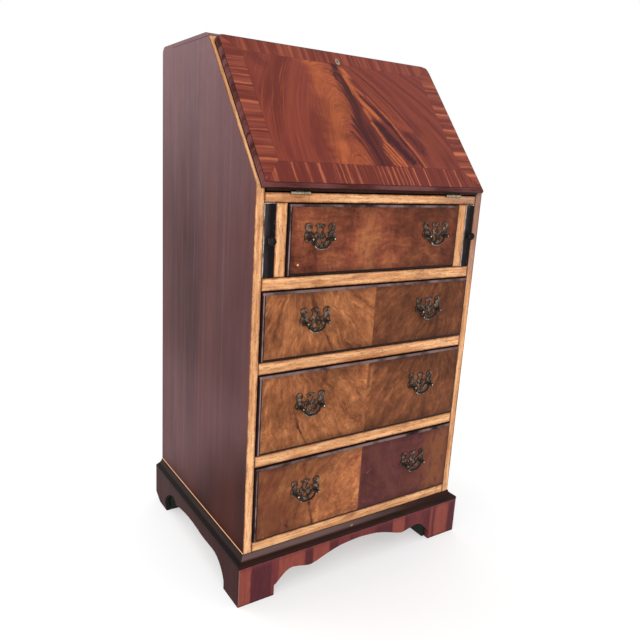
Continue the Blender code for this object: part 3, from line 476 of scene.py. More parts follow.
# Light and dark streaks right of the plume, in millimetres: across the fan and up the slope
fan_marks = (
    ("fall_orange", (222, 262, 222, 170, 3, 0.55), (232, 262, 231, 150, 4, 0.45),
     (246, 266, 250, 215, 6, 0.45)),
    ("fall_deep", (226, 250, 228, 190, 3, 0.7)),
    ("plume", (237.5, 266, 238, 125, 3.6, 0.8)),
    ("fall_deep", (256, 262, 262, 225, 6, 0.6)),
    ("plume", (217, 128, 224, 90, 16, 0.75), (231, 130, 232, 98, 5, 0.65)),
    ("fall_orange", (211, 158, 228, 140, 14, 0.7), (213, 235, 215, 165, 3.4, 0.6)),
    ("fall_gold", (203.5, 212, 204.5, 165, 3.4, 0.8), (204.5, 165, 206, 110, 2.8, 0.9),
     (207, 110, 211, 52, 3.2, 0.9)),
    ("plume", (177, 144, 182, 105, 16.5, 1.5), (183, 105, 193, 66, 16, 1.35),
     (190, 208, 194, 185, 7, 1.1), (194, 185, 199, 150, 8, 1.2), (199, 150, 202, 100, 5.6, 1.1),
     (202, 100, 206, 55, 3.6, 0.9)),
    ("fall_gold", (211, 274, 206, 258, 9.5, 1.2), (200, 254, 192, 238, 9.5, 1.3),
     (190, 236, 182, 214, 9, 1.2), (196, 232, 197, 214, 6, 0.8), (183, 206, 187, 163, 7.8, 1.6),
     (176, 178, 172, 158, 6.2, 1.1), (167, 150, 168, 104, 4.2, 1.4), (170, 104, 178.5, 52, 2.8, 1.5),
     (163, 100, 173, 52, 2.8, 1.5), (158, 94, 167, 52, 2.8, 1.5), (154, 83, 161, 52, 2.8, 1.3)))

# Marks of the whole field, in millimetres: across and up the slope
fall_marks = (
    ("plume", (-182, 276, -176, 262, 22, 0.55)),
    ("fall_orange", (152, 118, 166, 98, 34, 0.5)),
    ("fall_gold", (-60, 262, -58, 225, 24, 0.45), (-46, 158, -46, 128, 18, 0.5),
     (-62, 88, -44, 70, 20, 0.6)))

# How light the glow beside the plume is, up the slope
glow_curve = ((0.050, 1.14), (0.090, 1.06), (0.115, 0.88), (0.140, 1.00), (0.165, 0.82), (0.190, 0.90),
              (0.220, 1.08), (0.255, 1.10), (0.285, 0.88))


def fall_field(f, x, s):
    """The flame figure: arcs on the left, a glow, the plume, and lines fanning out on the right."""
    c = tones()
    sway = f.ragged(x * 22, s * 22, 0.5, 0.010)
    off = x + sway * 0.4 - f.profile(s, plume_line)
    steep = f.smooth(s, 0.285, 0.130) * 52 + 8
    level = s + steep * (x + 0.037) ** 2 + sway * 0.6
    strands = f.noise(level * 210, off * 24, 5.5, roughness=0.68)
    fringe = f.noise(level * 340, off * 44, 7.5, roughness=0.66)
    glow = f.noise(level * 46, off * 26, 6.5, roughness=0.6)
    waver = f.ragged(x * 10, s * 30, 8.5, 0.08)
    left = f.mix(f.smooth(x + waver, -0.096, -0.058) * 0.88, field_arcs(f, x + sway, s),
                 field_glow(f, s, strands, fringe, glow))
    field = f.mix(f.smooth(off, -0.003, 0.003), left, field_fan(f, x, s))
    field = marked(f, field, x + sway, s + sway, fall_marks, f.smooth(glow + strands, 0.75, 1.15))
    reach = f.larger(off * -1.0 / f.profile(s, plume_left), off / f.profile(s, plume_right))
    dark = f.smooth(reach + (fringe - 0.5) * 2.6 + (strands - 0.5) * 4.4, 1.60, 0.70)
    flecks = f.noise(level * 120, off * 120, 11.5)
    heart = f.mix(f.smooth(flecks, 0.46, 0.66), c.plume, c.fall_deep)
    hairs = f.smooth(abs(strands - 0.44), 0.045, 0.010) * f.smooth(reach, 5.5, 1.2)
    field = f.mix(hairs * 0.75 * f.smooth(off, 0.02, 0.0), field, c.plume)
    return f.mix(dark * 0.95, field, heart)


def field_arcs(f, x, s):
    """Plain mahogany left of the glow, its grain in slight arcs."""
    c = tones()
    arc = x - (s - field_foot) ** 2 * 1.2
    hair = f.noise(arc * 360, s * 9, 1.5, roughness=0.68)
    cloud = f.noise(arc * 26, s * 6, 2.5)
    colour = f.mix(f.smooth(cloud, 0.36, 0.62), c.fall_deep, c.fall_red)
    colour = f.mix(f.smooth(hair, 0.52, 0.66) * 0.65, colour, c.fall_orange)
    return f.mix(f.smooth(hair, 0.46, 0.32) * 0.6, colour, c.fall_deep)


def field_glow(f, s, strands, fringe, glow):
    """The orange glow left of the plume."""
    c = tones()
    colour = f.mix(f.smooth(glow, 0.36, 0.66), c.fall_orange, c.fall_gold)
    colour = f.mix(f.smooth(strands, 0.48, 0.66) * 0.85, colour, c.fall_red)
    return f.shade(f.shade(colour, fringe, 0.74, 1.26), f.profile(s, glow_curve), 0.0, 1.0)


def field_fan(f, x, s):
    """Lines that fan out from the head of the plume to the right."""
    c = tones()
    depth = 0.322 - s
    bent = depth * (1.5 - depth * 2.2)
    wander = f.ragged(x * 26, s * 26, 3.5, 0.007, detail=3)
    fan = (x + 0.25 - bent * 0.25) / (bent * 1.8 + 1) + wander
    lines = f.noise(fan * 620, s * 7, 9.5, roughness=0.66)
    broad = f.noise(fan * 90, s * 9, 10.5)
    chatter = f.noise(fan * 230, s * 60, 4.5, roughness=0.66)
    near = f.smooth(fan, 0.30, 0.20)
    colour = f.mix(f.smooth(broad, 0.32, 0.68), c.fall_red, c.fall_deep)
    colour = f.mix(f.smooth(lines, 0.50, 0.70) * (near * 0.45 + 0.18), colour, c.fall_orange)
    colour = f.mix(f.smooth(lines, 0.48, 0.30) * (near * 0.45 + 0.20), colour, c.fall_deep)
    colour = marked(f, colour, fan, s + (chatter - 0.5) * 0.03, fan_marks,
                    f.smooth(chatter + lines * 0.7, 0.48, 0.95))
    return f.shade(colour, f.noise(x * 380, s * 380, 4.5, detail=3), 0.74, 1.26)


# Light stripes of each side of the crossbanding in millimetres: place and half width
band_stripes = {
    "top": ((-197, 6), (-177, 3), (-153, 3), (-120, 4), (-101, 5), (-80, 3), (-66, 3), (-47, 2), (-20, 4),
            (8, 2), (27, 2), (38, 2), (58, 2), (70, 3)),
    "foot": ((-221, 7), (-183, 3), (-155, 5), (-130, 5), (-97, 5), (-85, 2), (-73, 4), (-53, 5), (-13, 2),
             (-4, 2), (7, 2), (18, 2), (31, 3), (42, 2), (51, 3), (60, 2), (66, 2), (81, 3), (107, 3),
             (158, 3), (186, 3), (213, 4)),
    "left": ((53, 4), (77, 3), (99, 2), (112, 3), (132, 3), (150, 3), (169, 5), (200, 2), (209, 3), (227, 2),
             (240, 2), (267, 3)),
    "right": ((39, 5), (57, 3), (75, 2), (89, 8), (111, 3), (128, 3), (146, 6), (165, 3), (187, 4), (204, 6),
              (248, 4), (260, 3)),
}


def crossband(f, across, along, side, ground, strength):
    """Crossbanding: a streaky ground with light stripes across it."""
    c = tones()
    points = [((place + step * width) * millimetre, 1.0 - abs(step))
              for place, width in band_stripes[side] for step in (-1, 0, 1)]
    wobble = f.ragged(across * 130, along * 60, 3.5, 0.0045)
    light = f.smooth(f.profile(across + wobble, sorted(points)), 0.0, 1.15)
    light = light * f.smooth(f.noise(across * 70, along * 9, 5.5, detail=3), 0.30, 0.60)
    seed = len(side) + len(points) * 0.1
    broad = f.noise(across * 75, along * 4, seed, detail=3)
    thin = f.noise(across * 420, along * 10, seed + 0.5, roughness=0.66)
    colour = f.mix(f.smooth(broad, 0.38, 0.64), c.band_deep, ground)
    colour = f.mix(light * strength * (thin * 0.8 + 0.6), colour, c.band_light)
    colour = f.mix(f.smooth(thin, 0.56, 0.70) * strength * 0.45, colour, c.band_light)
    return f.shade(colour, thin, 0.62, 1.38)


def fall_veneer(name):
    """The fall's outer face: a flame field in mitred crossbanding, the dark thumbnail edge, and painted
    shadow on the inner part of the edges.
    """
    f, c, x, y, z = started(name, 0.30, 0.07)
    s = (y - pin_y) * slope_y + (z - bed_top) * slope_z
    side_share = (abs(x) - field_half) * (1 / (fall_half - field_half))
    end_share = f.larger((s - field_head) * (1 / (fall_head - field_head)),
                         (field_foot - s) * (1 / (field_foot - fall_foot)))
    level_bands = f.mix(f.math("GREATER_THAN", s, 0.17), crossband(f, x, s, "foot", c.band_deep, 0.90),
                        crossband(f, x, s, "top", c.band_mid, 0.40))
    upright_bands = f.mix(f.math("GREATER_THAN", x, 0.0), crossband(f, s, x, "left", c.band_mid, 0.75),
                          crossband(f, s, x, "right", c.band_mid, 1.0))
    bands = f.mix(f.math("GREATER_THAN", side_share, end_share), level_bands, upright_bands)
    most = f.larger(side_share, end_share)
    colour = f.mix(f.smooth(most, -0.006, 0.006), fall_field(f, x, s), bands)
    joint = f.smooth(abs(most), 0.022, 0.004)
    mitre = f.smooth(abs(side_share - end_share), 0.03, 0.006) * f.smooth(most, 0.0, 0.01)
    colour = f.mix(f.larger(joint, mitre) * 0.4, colour, c.plume)
    rim = f.smaller(f.smaller(fall_half - abs(x), s - fall_foot), fall_head - s)
    thumbnail = 0.0062
    rubbed_and_highlight = f.noise(x * 9, s * 9, y * 160)
    colour = f.mix(f.smooth(rim, thumbnail + 0.0004, thumbnail - 0.0002), colour,
                   f.mix(f.smooth(rubbed_and_highlight, 0.40, 0.62), c.fall_edge, c.fall_edge_rubbed))
    colour = f.mix(f.smooth(abs(rim - thumbnail), 0.0007, 0.0002) * 0.8, colour, c.drawer_edge)
    # Painted shadow: the inner part of the board's edges made near-black, as in the gap under the fall
    height = (z - bed_top) * slope_y - (y - pin_y) * slope_z
    colour = f.mix(f.smooth(height, 0.0105, 0.0088) * 0.9, colour, c.drawer_edge)
    worn_and_highlight = f.noise(x * 22, s * 22, 3.0)
    return f.done(colour, roughness=worn_and_highlight * 0.22 + 0.2,
                  height=f.noise(x * 300, s * 300, 1.0, detail=2) - joint * 0.6, depth=0.00006)


# Each drawer front: where its two leaves meet and how softly, how light it is along x, and for each
# leaf its flow (clouds, fan or rings), the middle of that, its dark, middle and light tones, and marks
drawer_figures = {
    1: {"joint": 0.003, "soft": 0.007,
        "light": ((-0.24, 0.88), (-0.16, 0.96), (-0.06, 1.00), (0.0, 1.02), (0.05, 0.88), (0.12, 0.66),
                  (0.24, 0.62)),
        "leaves": (("clouds", -0.060, 0.930, "leaf_umber", "leaf_red", "leaf_amber",
                    (("leaf_dark", (-146, 642, -141, 607, 14, 0.9)),
                     ("leaf_gold", (-37, 672, -37, 640, 22, 0.5)),
                     ("leaf_dark", (-12, 709, 3, 701, 2.5, 0.7), (3, 701, 31, 713, 2.5, 0.7)),
                     ("leaf_gold", (-24, 700, -24, 615, 30, 0.35)),
                     ("leaf_dark", (-60, 690, -80, 655, 24, 0.4)),
                     ("raw_light", (-173.6, 621.3, -173, 620.9, 2.8, 1.6)))),
                   ("clouds", 0.066, 0.930, "leaf_umber", "leaf_red", "leaf_amber",
                    (("leaf_dark", (40, 690, 36, 640, 10, 0.5), (85, 645, 60, 612, 26, 0.4)),
                     ("raw_light", (119.4, 631.2, 119.8, 630.9, 2.4, 1.4)))))},
    2: {"joint": 0.0, "soft": 0.0008,
        "light": ((-0.24, 0.98), (-0.13, 0.86), (-0.05, 0.88), (-0.002, 0.98), (0.002, 0.86), (0.24, 0.82)),
        "leaves": (("fan", -0.172, 0.655, "leaf_umber", "leaf_amber", "leaf_gold",
                    (("leaf_dark", (-200, 557, -213, 493, 10, 0.6), (-146, 572, -133, 546, 11, 0.8),
                      (-133, 546, -91, 465, 4.5, 0.7)),
                     ("leaf_gold", (-66, 541, -59, 500, 4.5, 0.8), (-110, 560, -100, 535, 10, 0.6),
                      (-178, 545, -190, 480, 12, 0.5), (-8, 572, -6, 462, 14, 0.5)))),
                   ("fan", 0.205, 0.660, "leaf_umber", "leaf_brown", "leaf_amber",
                    (("leaf_dark", (137, 496, 111, 473, 3.5, 0.6), (152, 567.5, 139, 543, 7, 0.7)),)))},
    3: {"joint": -0.003, "soft": 0.003,
        "light": ((-0.24, 1.00), (-0.12, 0.86), (-0.03, 0.90), (0.03, 0.90), (0.12, 0.80), (0.24, 0.84)),
        "leaves": (("fan", -0.215, 0.560, "leaf_umber", "leaf_amber", "leaf_gold",
                    (("leaf_dark", (-164, 366, -155, 326, 6, 0.9), (-155, 326, -136, 292, 4.2, 0.9),
                      (-100, 425, -110, 400, 10, 0.6)),)),
                   ("fan", 0.190, 0.560, "leaf_umber", "leaf_brown", "leaf_amber",
                    (("leaf_gold", (6, 412, 2, 392, 10, 0.8), (10, 392, 0, 372, 9, 0.7),
                      (42, 345, 48, 349, 2, 0.9)),)))},
    4: {"joint": -0.003, "soft": 0.0008,
        "light": ((-0.24, 0.74), (-0.18, 0.80), (-0.10, 1.00), (-0.03, 1.40), (-0.003, 1.48), (0.002, 0.94),
                  (0.06, 1.02), (0.12, 1.08), (0.24, 1.14)),
        "leaves": (("rings", 0.030, 0.140, "leaf_red", "leaf_amber", "leaf_gold",
                    (("leaf_dark", (-134.5, 238, -121, 167, 6, 0.8), (-121, 167, -111, 120, 4, 1),
                      (-171, 134.5, -168, 130.5, 6, 1)),
                     ("leaf_red", (-225, 250, -200, 120, 60, 0.6)))),
                   ("fan", 0.140, 0.020, "leaf_purple", "leaf_plum", "leaf_umber",
                    (("leaf_gold", (14, 196, 24, 203, 1.8, 0.8)),
                     ("leaf_brown", (215, 235, 200, 120, 70, 1.3)),
                     ("leaf_umber", (110, 115, 150, 190, 40, 0.6)),
                     ("leaf_purple", (20, 250, 90, 130, 20, 0.7)))))},
}


def drawer_leaf(f, x, z, leaf, seed):
    """One leaf of figured veneer, whose streaks cloud it, fan out from its middle or ring that."""
    kind, middle_x, middle_z, *shades = leaf
    deep, middle, light = (getattr(tones(), shade) for shade in shades)
    warp = f.ragged(x * 17, z * 17, seed + 0.5, 0.034)
    out_x, out_z = x - middle_x + warp, z - middle_z + warp
    turn = f.math("ARCTAN2", out_x, out_z)
    away = f.math("SQRT", out_x ** 2 + out_z ** 2)
    stripe, run = {"fan": (turn * 22, away * 10), "rings": (away * 78, turn * 1.6),
                   "clouds": (out_x * 30 + out_z * 8, out_z * 20)}[kind]
    broad = f.noise(stripe * 0.6, run * 0.7, seed + 1.5, detail=3, roughness=0.6)
    fine = f.noise(stripe * 6, run * 2.5, seed + 2.5, roughness=0.66)
    curl = f.noise(run * 7, stripe * 1.3, seed + 3.5, roughness=0.62)
    hair = f.noise(stripe * 22, run * 5, seed + 4.5, detail=3, roughness=0.62)
    blot = f.noise(x * 16, z * 16, seed + 5.5, roughness=0.62)
    tone = broad * 0.40 + curl * 0.18 + fine * 0.16 + blot * 0.26
    colour = f.mix(f.smooth(tone, 0.36, 0.50), deep, middle)
    colour = f.mix(f.smooth(tone, 0.49, 0.64), colour, light)
    colour = f.shade(f.shade(colour, fine, 0.80, 1.20), f.smooth(blot, 0.32, 0.68), 0.76, 1.20)
    colour = f.shade(colour, f.smooth(curl, 0.34, 0.66), 0.84, 1.16)
    colour = f.shade(colour, f.noise(x * 420, z * 420, seed + 6.5), 0.74, 1.26)
    return f.shade(colour, hair, 0.70, 1.30)


def drawer_veneer(name, number):
    """A drawer front: two leaves of figured veneer, their marks, darker toward the edges, and the dark
    moulded edge, which is partly painted shade, with a painted highlight on its upper and left parts.
    """
    f, c, x, y, z = started(name, 0.34, 0.09)
    node = f"drawer_front_{number}"
    figure = drawer_figures[number]
    joint, soft = figure["joint"], figure["soft"]
    leaves = []
    for n, (*leaf, marks) in enumerate(figure["leaves"]):
        broken = f.smooth(f.noise(x * 110, z * 60, number + n + 0.5), 0.25, 0.62)
        leaves.append(marked(f, drawer_leaf(f, x, z, leaf, number * 20 + 9 * n), x, z, marks, broken))
    colour = f.mix(f.smooth(x, joint - soft, joint + soft), *leaves)
    colour = f.shade(colour, f.profile(x, figure["light"]), 0.0, 1.0)
    rim = rim_of(f, node, x, z)
    # Darker toward the edges of the front
    darkened = rim + f.ragged(x * 40, z * 40, number + 6.5, 0.016)
    colour = f.shade(colour, f.smooth(darkened, 0.004, 0.020), 0.66, 1.0)
    low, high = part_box(node)
    # The dark moulded edge, partly painted shade in the gap round the drawer
    edge_width = 0.0056
    edge = f.smooth(rim, edge_width, edge_width - 0.0006)
    # Painted highlight: the upper and left parts of the moulded edge made pale, as light reflected off them
    upper = f.smooth(z, high.z - edge_width, high.z - edge_width + 0.0006)
    flank = f.smooth(x, low.x + 0.0048, low.x + 0.0036) * f.smooth(x, low.x + 0.0012, low.x + 0.0024)
    rubbed_and_highlight = f.noise(x * 26, z * 26, number + 8.5)
    rubbed_and_highlight = rubbed_and_highlight * f.smooth(y, drawer_face + 0.00385, drawer_face + 0.00185)
    worn_and_highlight = f.smooth(rubbed_and_highlight * f.larger(upper * 0.8, flank * 0.9), 0.22, 0.50)
    pale = f.mix(flank, c.moulding_grey, c.edge_rubbed)
    colour = f.mix(edge, colour, f.mix(worn_and_highlight, c.drawer_edge, pale))
    wear = f.noise(x * 25, z * 40, number + 4.5)
    return f.done(colour, roughness=wear * 0.22 + 0.26 - edge * 0.06,
                  height=f.noise(x * 260, z * 500, number + 0.2, detail=3), depth=0.00008)


def dark_moulding(name, place):
    """The base moulding: near-black stain, its hollow browner and greyed by a painted highlight."""
    front = place == "front"
    f, c, x, y, z = started(name, 0.3, 0.08 if front else 0.03)
    run, out = (x, front_y - y) if front else (y, abs(x) - case_outer)
    grain = f.noise(run * 14, z * 800, out * 800)
    patches = f.noise(run * 9, z * 40, 2.5)
    wave = patches - 0.5
    brown = f.smooth(z, moulding_foot + 0.0010, moulding_foot + 0.0022) * f.smooth(patches, 0.20, 0.50)
    colour = f.mix(brown * (0.9 if front else 0.15), c.moulding_dark, c.moulding_brown)
    # Painted highlight: the upper hollow greyed where it faces up to the light, most at the left of the
    # front
    hollow = f.smooth(z + wave * 0.002, moulding_foot + 0.0080, moulding_foot + 0.0106)
    hollow = hollow * f.smooth(z, moulding_top - 0.0001, moulding_top - 0.0009)
    polish_and_sheen = f.smooth(x + wave * 0.3, 0.20, -0.10) if front else patches * 0.3
    colour = f.mix(hollow * polish_and_sheen * 0.58, colour, c.moulding_grey)
    colour = f.shade(colour, grain, 0.7, 1.3)
    chip = f.stroke(x, z, (-0.016, 0.088), (-0.011, 0.0885), 0.0014) * f.smooth(y, -0.19, -0.20)
    return f.done(f.mix(chip * 0.35, colour, c.raw_light), roughness=grain * 0.2 + 0.2, height=grain,
                  depth=0.00008)


# Stripes of the plinth's front: place along x in millimetres, and the tone there
plinth_stripes = (
    (-246, "light"), (-243, "deep"), (-203, "deep"), (-199, "mid"), (-188, "mid"), (-186, "light"),
    (-130, "light"), (-126, "deep"), (-111, "deep"), (-108, "light"), (-73, "light"), (-69, "deep"),
    (-53, "deep"), (-50, "mid"), (-24, "mid"), (-21, "deep"), (4, "mid"), (38, "mid"), (43, "deep"),
    (87, "deep"), (90, "light"), (119, "light"), (123, "deep"), (155, "mid"), (193, "deep"),
    (198, "light"), (206, "deep"), (213, "light"), (244, "light"), (251, "deep"))


def plinth_veneer(name, along):
    """Crossbanded plinth: upright stripes of light and dark mahogany."""
    front = along == "x"
    f, c, x, y, z = started(name, 0.34, 0.06 if front else 0.02)
    run, through = (x, y) if front else (y, x)
    wander = f.ragged(run * 30, z * 22, 2.5, 0.008, detail=3)
    if front:
        length = 2 * plinth_half
        stops = [((place * millimetre + plinth_half) / length, getattr(c, f"plinth_{tone}"))
                 for place, tone in plinth_stripes]
        colour = f.ramp((run + wander + plinth_half) * (1 / length), stops)
    else:
        tone = f.noise((run + wander) * 45, z * 2, 4.5, detail=3)
        colour = f.mix(f.smooth(tone, 0.36, 0.66), c.plinth_flank, c.case_dark_and_shade)
        colour = f.mix(f.smooth(tone, 0.58, 0.72) * 0.6, colour, c.plinth_deep)
    fine = f.noise((run + wander) * 460, z * 18, through * 20, roughness=0.62)
    mottle = f.noise(run * 130, z * 40, 7.5, roughness=0.64)
    colour = f.shade(f.shade(colour, fine, 0.58, 1.38), mottle, 0.72, 1.28)
    if front:
        wave = mottle - 0.5
        colour = f.mix(f.smooth(z, moulding_foot - 0.0108, moulding_foot - 0.0018) * 0.6, colour,
                       c.plinth_mid)
        # Pale lines along the front corners and the top edge: partly wear, partly a painted highlight on the
        # rounded edges
        corner = f.smooth(plinth_half - abs(x) + wave * 0.008, 0.0030, 0.0010)
        brow = f.smooth(moulding_foot - z + wave * 0.003, 0.0022, 0.0010) * f.smooth(mottle, 0.42, 0.60)
        colour = f.mix(f.larger(corner * 0.5, brow * 0.4), colour, c.edge_rubbed)
    # Darker toward the bottom
    darkened = f.smooth(z + f.ragged(run * 60, z * 60, 6.5, 0.01), 0.006, 0.0)
    return f.done(f.mix(darkened * 0.6, colour, c.moulding_dark), roughness=fine * 0.2 + 0.26, height=fine,
                  depth=0.00008)


def ebonised_wood(name, node):
    """Blackened wood with a painted sheen over its left part, pale along its left and upper edges: partly
    scuffs, partly a painted highlight.
    """
    f, c, x, y, z = started(name, 0.3, 0.05)
    low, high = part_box(node)
    scuffs = f.noise(x * 150, y * 60, z * 45, detail=5, roughness=0.66)
    grain = f.noise(x * 900, y * 900, z * 20, detail=2)
    across = (x - low.x) * (1 / (high.x - low.x))
    sheen = f.smooth(across + (scuffs - 0.5) * 0.4, 0.62, 0.10)
    sheen = sheen * f.smooth(f.noise(x * 200, 1.0, z * 14, detail=3), 0.30, 0.65)
    # Pale left and upper edges: partly scuffs, partly a painted highlight
    rim = f.smaller(x - low.x, high.z - z)
    end = f.smooth(y - low.y, 0.004, 0.002)
    rubbed_and_highlight = f.smooth(rim + (scuffs - 0.5) * 0.006, 0.0014, 0.0003) * end
    colour = f.mix(f.smooth(scuffs, 0.58, 0.74) * 0.22, c.ebony, c.moulding_grey)
    colour = f.mix(sheen * end * 0.26, colour, c.moulding_grey)
    colour = f.mix(rubbed_and_highlight * 0.85, colour, c.brass_tip)
    return f.done(f.shade(colour, grain, 0.75, 1.25), roughness=grain * 0.22 + 0.2, height=grain,
                  depth=0.00008)


def stained_block(name):
    """Rough corner block under a thin greenish-black stain."""
    f, c, x, y, z = started(name, 0.6, 0.2)
    grain = f.noise(x * 260, y * 260, z * 14)
    bare = f.smooth(f.noise(x * 110, y * 110, z * 70), 0.60, 0.74)
    colour = f.mix(bare * 0.30, c.block_stain, c.moulding_grey)
    return f.done(f.shade(colour, grain, 0.5, 1.5), height=grain, depth=0.0003)


def plain_pine(name, along):
    """Unfinished pine: late-wood lines and a knot here and there."""
    f = Finish(name, 0.7, 0.2)
    c = tones()
    u, v, w = grain_place(f, along)
    grain = grained(f, u, v, w)
    bend = (grain(3, 9, detail=3) - 0.5) * 0.03
    board = grain(0.3, 8, detail=1)
    rings = f.noise(u * 0.9, (v + bend) * 230, (w + bend) * 230, detail=3, roughness=0.6)
    knots = f.smooth(grain(8, 13, detail=1), 0.74, 0.80)
    colour = f.mix(f.smooth(rings, 0.40, 0.70) * 0.55, c.pine, c.pine_deep)
    colour = f.mix(f.smooth(board, 0.40, 0.60) * 0.35, colour, c.pine_deep)
    colour = f.mix(knots * 0.4, colour, c.raw_stain)
    fine = grain(20, 800, detail=3)
    return f.done(f.shade(colour, fine, 0.80, 1.16), height=fine, depth=0.0001)


def old_brass(name, worn_and_highlight=0.0):
    """Antique brass: a dark brown patina, paler where the given wear is high: partly wear, partly a painted
    highlight.
    """
    f, c, x, y, z = started(name, 0.4, 0.15)
    patina = f.noise(x * 380, y * 380, z * 380, detail=5, roughness=0.7)
    rub = f.noise(x * 150, y * 150, z * 150, detail=3) + worn_and_highlight
    bright = f.smooth(rub, 0.80, 1.10)
    colour = f.mix(bright, c.brass_old, c.brass_worn)
    colour = f.mix(f.smooth(rub, 1.10, 1.45), colour, c.brass_tip)
    colour = f.shade(colour, f.smooth(patina, 0.30, 0.72), 0.40, 1.60)
    return f.done(colour, roughness=0.50 - bright * 0.2, metallic=bright * 0.5 + 0.1,
                  height=patina, depth=0.0004)


def fitting_metal(name, tone):
    """Brass or steel of the hinges, lock and escutcheon, dulled and scratched."""
    f, c, x, y, z = started(name, 0.35, 0.5, Metallic=1.0)
    dull = f.noise(x * 240, y * 240, z * 240)
    scratch = f.noise(x * 900, y * 90, z * 90, detail=2)
    colour = f.shade(getattr(c, tone), f.smooth(dull, 0.3, 0.7), 0.62, 1.15)
    return f.done(colour, roughness=dull * 0.3 + 0.25, height=scratch, depth=0.00004)


def floor_paint(name):
    """Plain pale floor, bright enough to stay pale under the bureau."""
    f, c, x, y, z = started(name, 0.85, 0.1, Emission_Strength=1.0)
    colour = f.shade(c.floor, f.noise(x * 3, y * 3, 1.0, detail=2), 0.99, 1.0)
    f.shader.inputs["Emission Color"].default_value = (0.46, 0.46, 0.46, 1.0)
    return f.done(colour)


def only(piece):
    """Nothing but this piece selected and active."""
    bpy.ops.object.select_all(action="DESELECT")
    piece.select_set(True)
    bpy.context.view_layer.objects.active = piece


def edit_all(piece):
    """Into edit mode with all of the piece selected."""
    only(piece)
    bpy.ops.object.mode_set(mode="EDIT")
    bpy.ops.mesh.select_all(action="SELECT")


def close_up(gap):
    """Leaves edit mode with points closer than the gap merged and all faces turned outward."""
    bpy.ops.mesh.select_all(action="SELECT")
    bpy.ops.mesh.remove_doubles(threshold=gap)
    bpy.ops.mesh.normals_make_consistent(inside=False)
    bpy.ops.object.mode_set(mode="OBJECT")


def added(name, mesh):
    """A new piece with that mesh."""
    piece = bpy.data.objects.new(name, mesh)
    bpy.context.scene.collection.objects.link(piece)
    return piece


def copied(source, name, place=(0, 0, 0), flip=False):
    """A copy of a piece with a mesh of its own, moved or also mirrored in x."""
    piece = added(name, source.data.copy())
    move = Matrix.Translation(Vector(place))
    if flip:
        move = move @ Matrix.Diagonal((-1, 1, 1, 1))
    piece.data.transform(move)
    if flip:
        piece.data.flip_normals()
    return piece


def copy_of(node, name):
    """An own piece in the shape of a CAD node, merged and with its flat faces whole."""
    piece = copied(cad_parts[node], name)
    piece.data.materials.clear()
    edit_all(piece)
    bpy.ops.mesh.remove_doubles(threshold=weld)
    bpy.ops.mesh.dissolve_limited(angle_limit=0.002)
    bpy.ops.object.mode_set(mode="OBJECT")
    return piece


def apply(piece, kind, **settings):
    """Adds a modifier and applies it."""
    only(piece)
    modifier = piece.modifiers.new(kind.lower(), kind)
    for name, setting in settings.items():
        setattr(modifier, name, setting)
    bpy.ops.object.modifier_apply(modifier=modifier.name)


def smoothed(degrees):
    """Smooth shading on the active piece, but for edges sharper than that."""
    bpy.ops.object.shade_smooth_by_angle(angle=math.radians(degrees))


def ease_edges(piece, width):
    """Rounds the sharp edges a little and keeps the flat faces flat."""
    apply(piece, "BEVEL", width=width, segments=2, limit_method="ANGLE", angle_limit=math.radians(32))
    only(piece)
    smoothed(50)
    apply(piece, "WEIGHTED_NORMAL", keep_sharp=True)


def finished(piece, body, slot, *finishes, nodes=()):
    """Gives a piece its materials and its body, and hides the CAD nodes that it stands for; its slot is not
    used.
    """
    for finish in finishes:
        piece.data.materials.append(finish)
    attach(piece, body)
    if nodes:
        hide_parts(*nodes)
    return piece


def choose_faces(piece, slot_number, wanted):
    """Gives the faces that are wanted another of the piece's materials."""
    for face in piece.data.polygons:
        if wanted(face):
            face.material_index = slot_number


def eased_copy(node, name, body, slot, finish, width=None):
    """The usual way with a board: its CAD shape with eased edges and one finish."""
    piece = copy_of(node, name)
    ease_edges(piece, width or bpy.context.scene.bureau_sizes.arris)
    return finished(piece, body, slot, finish, nodes=(node,))


def spun(name, profile, centre, steps=32):
    """A turned piece: profile points (radius, place along y from the centre) spun about y."""
    along = Vector((0, 1, 0))
    across = along.orthogonal().normalized()
    base = Vector(centre)
    points = [base + across * radius + along * place for radius, place in profile]
    mesh = bpy.data.meshes.new(name)
    mesh.from_pydata(points, [(n, n + 1) for n in range(len(points) - 1)], ())
    piece = added(name, mesh)
    edit_all(piece)
    bpy.ops.mesh.spin(steps=steps, angle=math.tau, center=base, axis=along)
    close_up(weld)
    smoothed(40)
    return piece


def drawn(name, outlines, closed, **settings):
    """A piece drawn as a curve: points of x, y and z in millimetres, swell and any sharp turn."""
    bpy.ops.object.select_all(action="DESELECT")
    bpy.ops.curve.primitive_bezier_curve_add()
    shape = bpy.context.object
    shape.name = name
    shape.data.splines.clear()
    for setting, value in settings.items():
        setattr(shape.data, setting, value)
    for points in outlines:
        spline = shape.data.splines.new("BEZIER")
        spline.bezier_points.add(len(points) - 1)
        spline.use_cyclic_u = closed
        for point, (x, y, z, swell, *sharp) in zip(spline.bezier_points, points):
            point.co = (x * millimetre, y * millimetre, z * millimetre)
            point.radius = swell
            point.handle_left_type = point.handle_right_type = "VECTOR" if sharp else "AUTO"
    bpy.ops.object.convert(target="MESH")
    return bpy.context.object


# The camera fitted to the photograph: its place, which way its right and up point, lens and shift
camera_place = (-0.7225, -1.0652, 0.7869)
camera_right = Vector((0.85216, -0.52099, 0.04884))
camera_up = Vector((0.07927, 0.22080, 0.97209))
camera_settings = {"lens": 34.845, "sensor_width": 36, "shift_x": 0.04484, "shift_y": -0.01764}

# The two soft lights: name, place and power
lights = (("key_light", (-1.2, -3.6, 3.6), 50), ("back_light", (-2.4, 2.9, 1.9), 60))


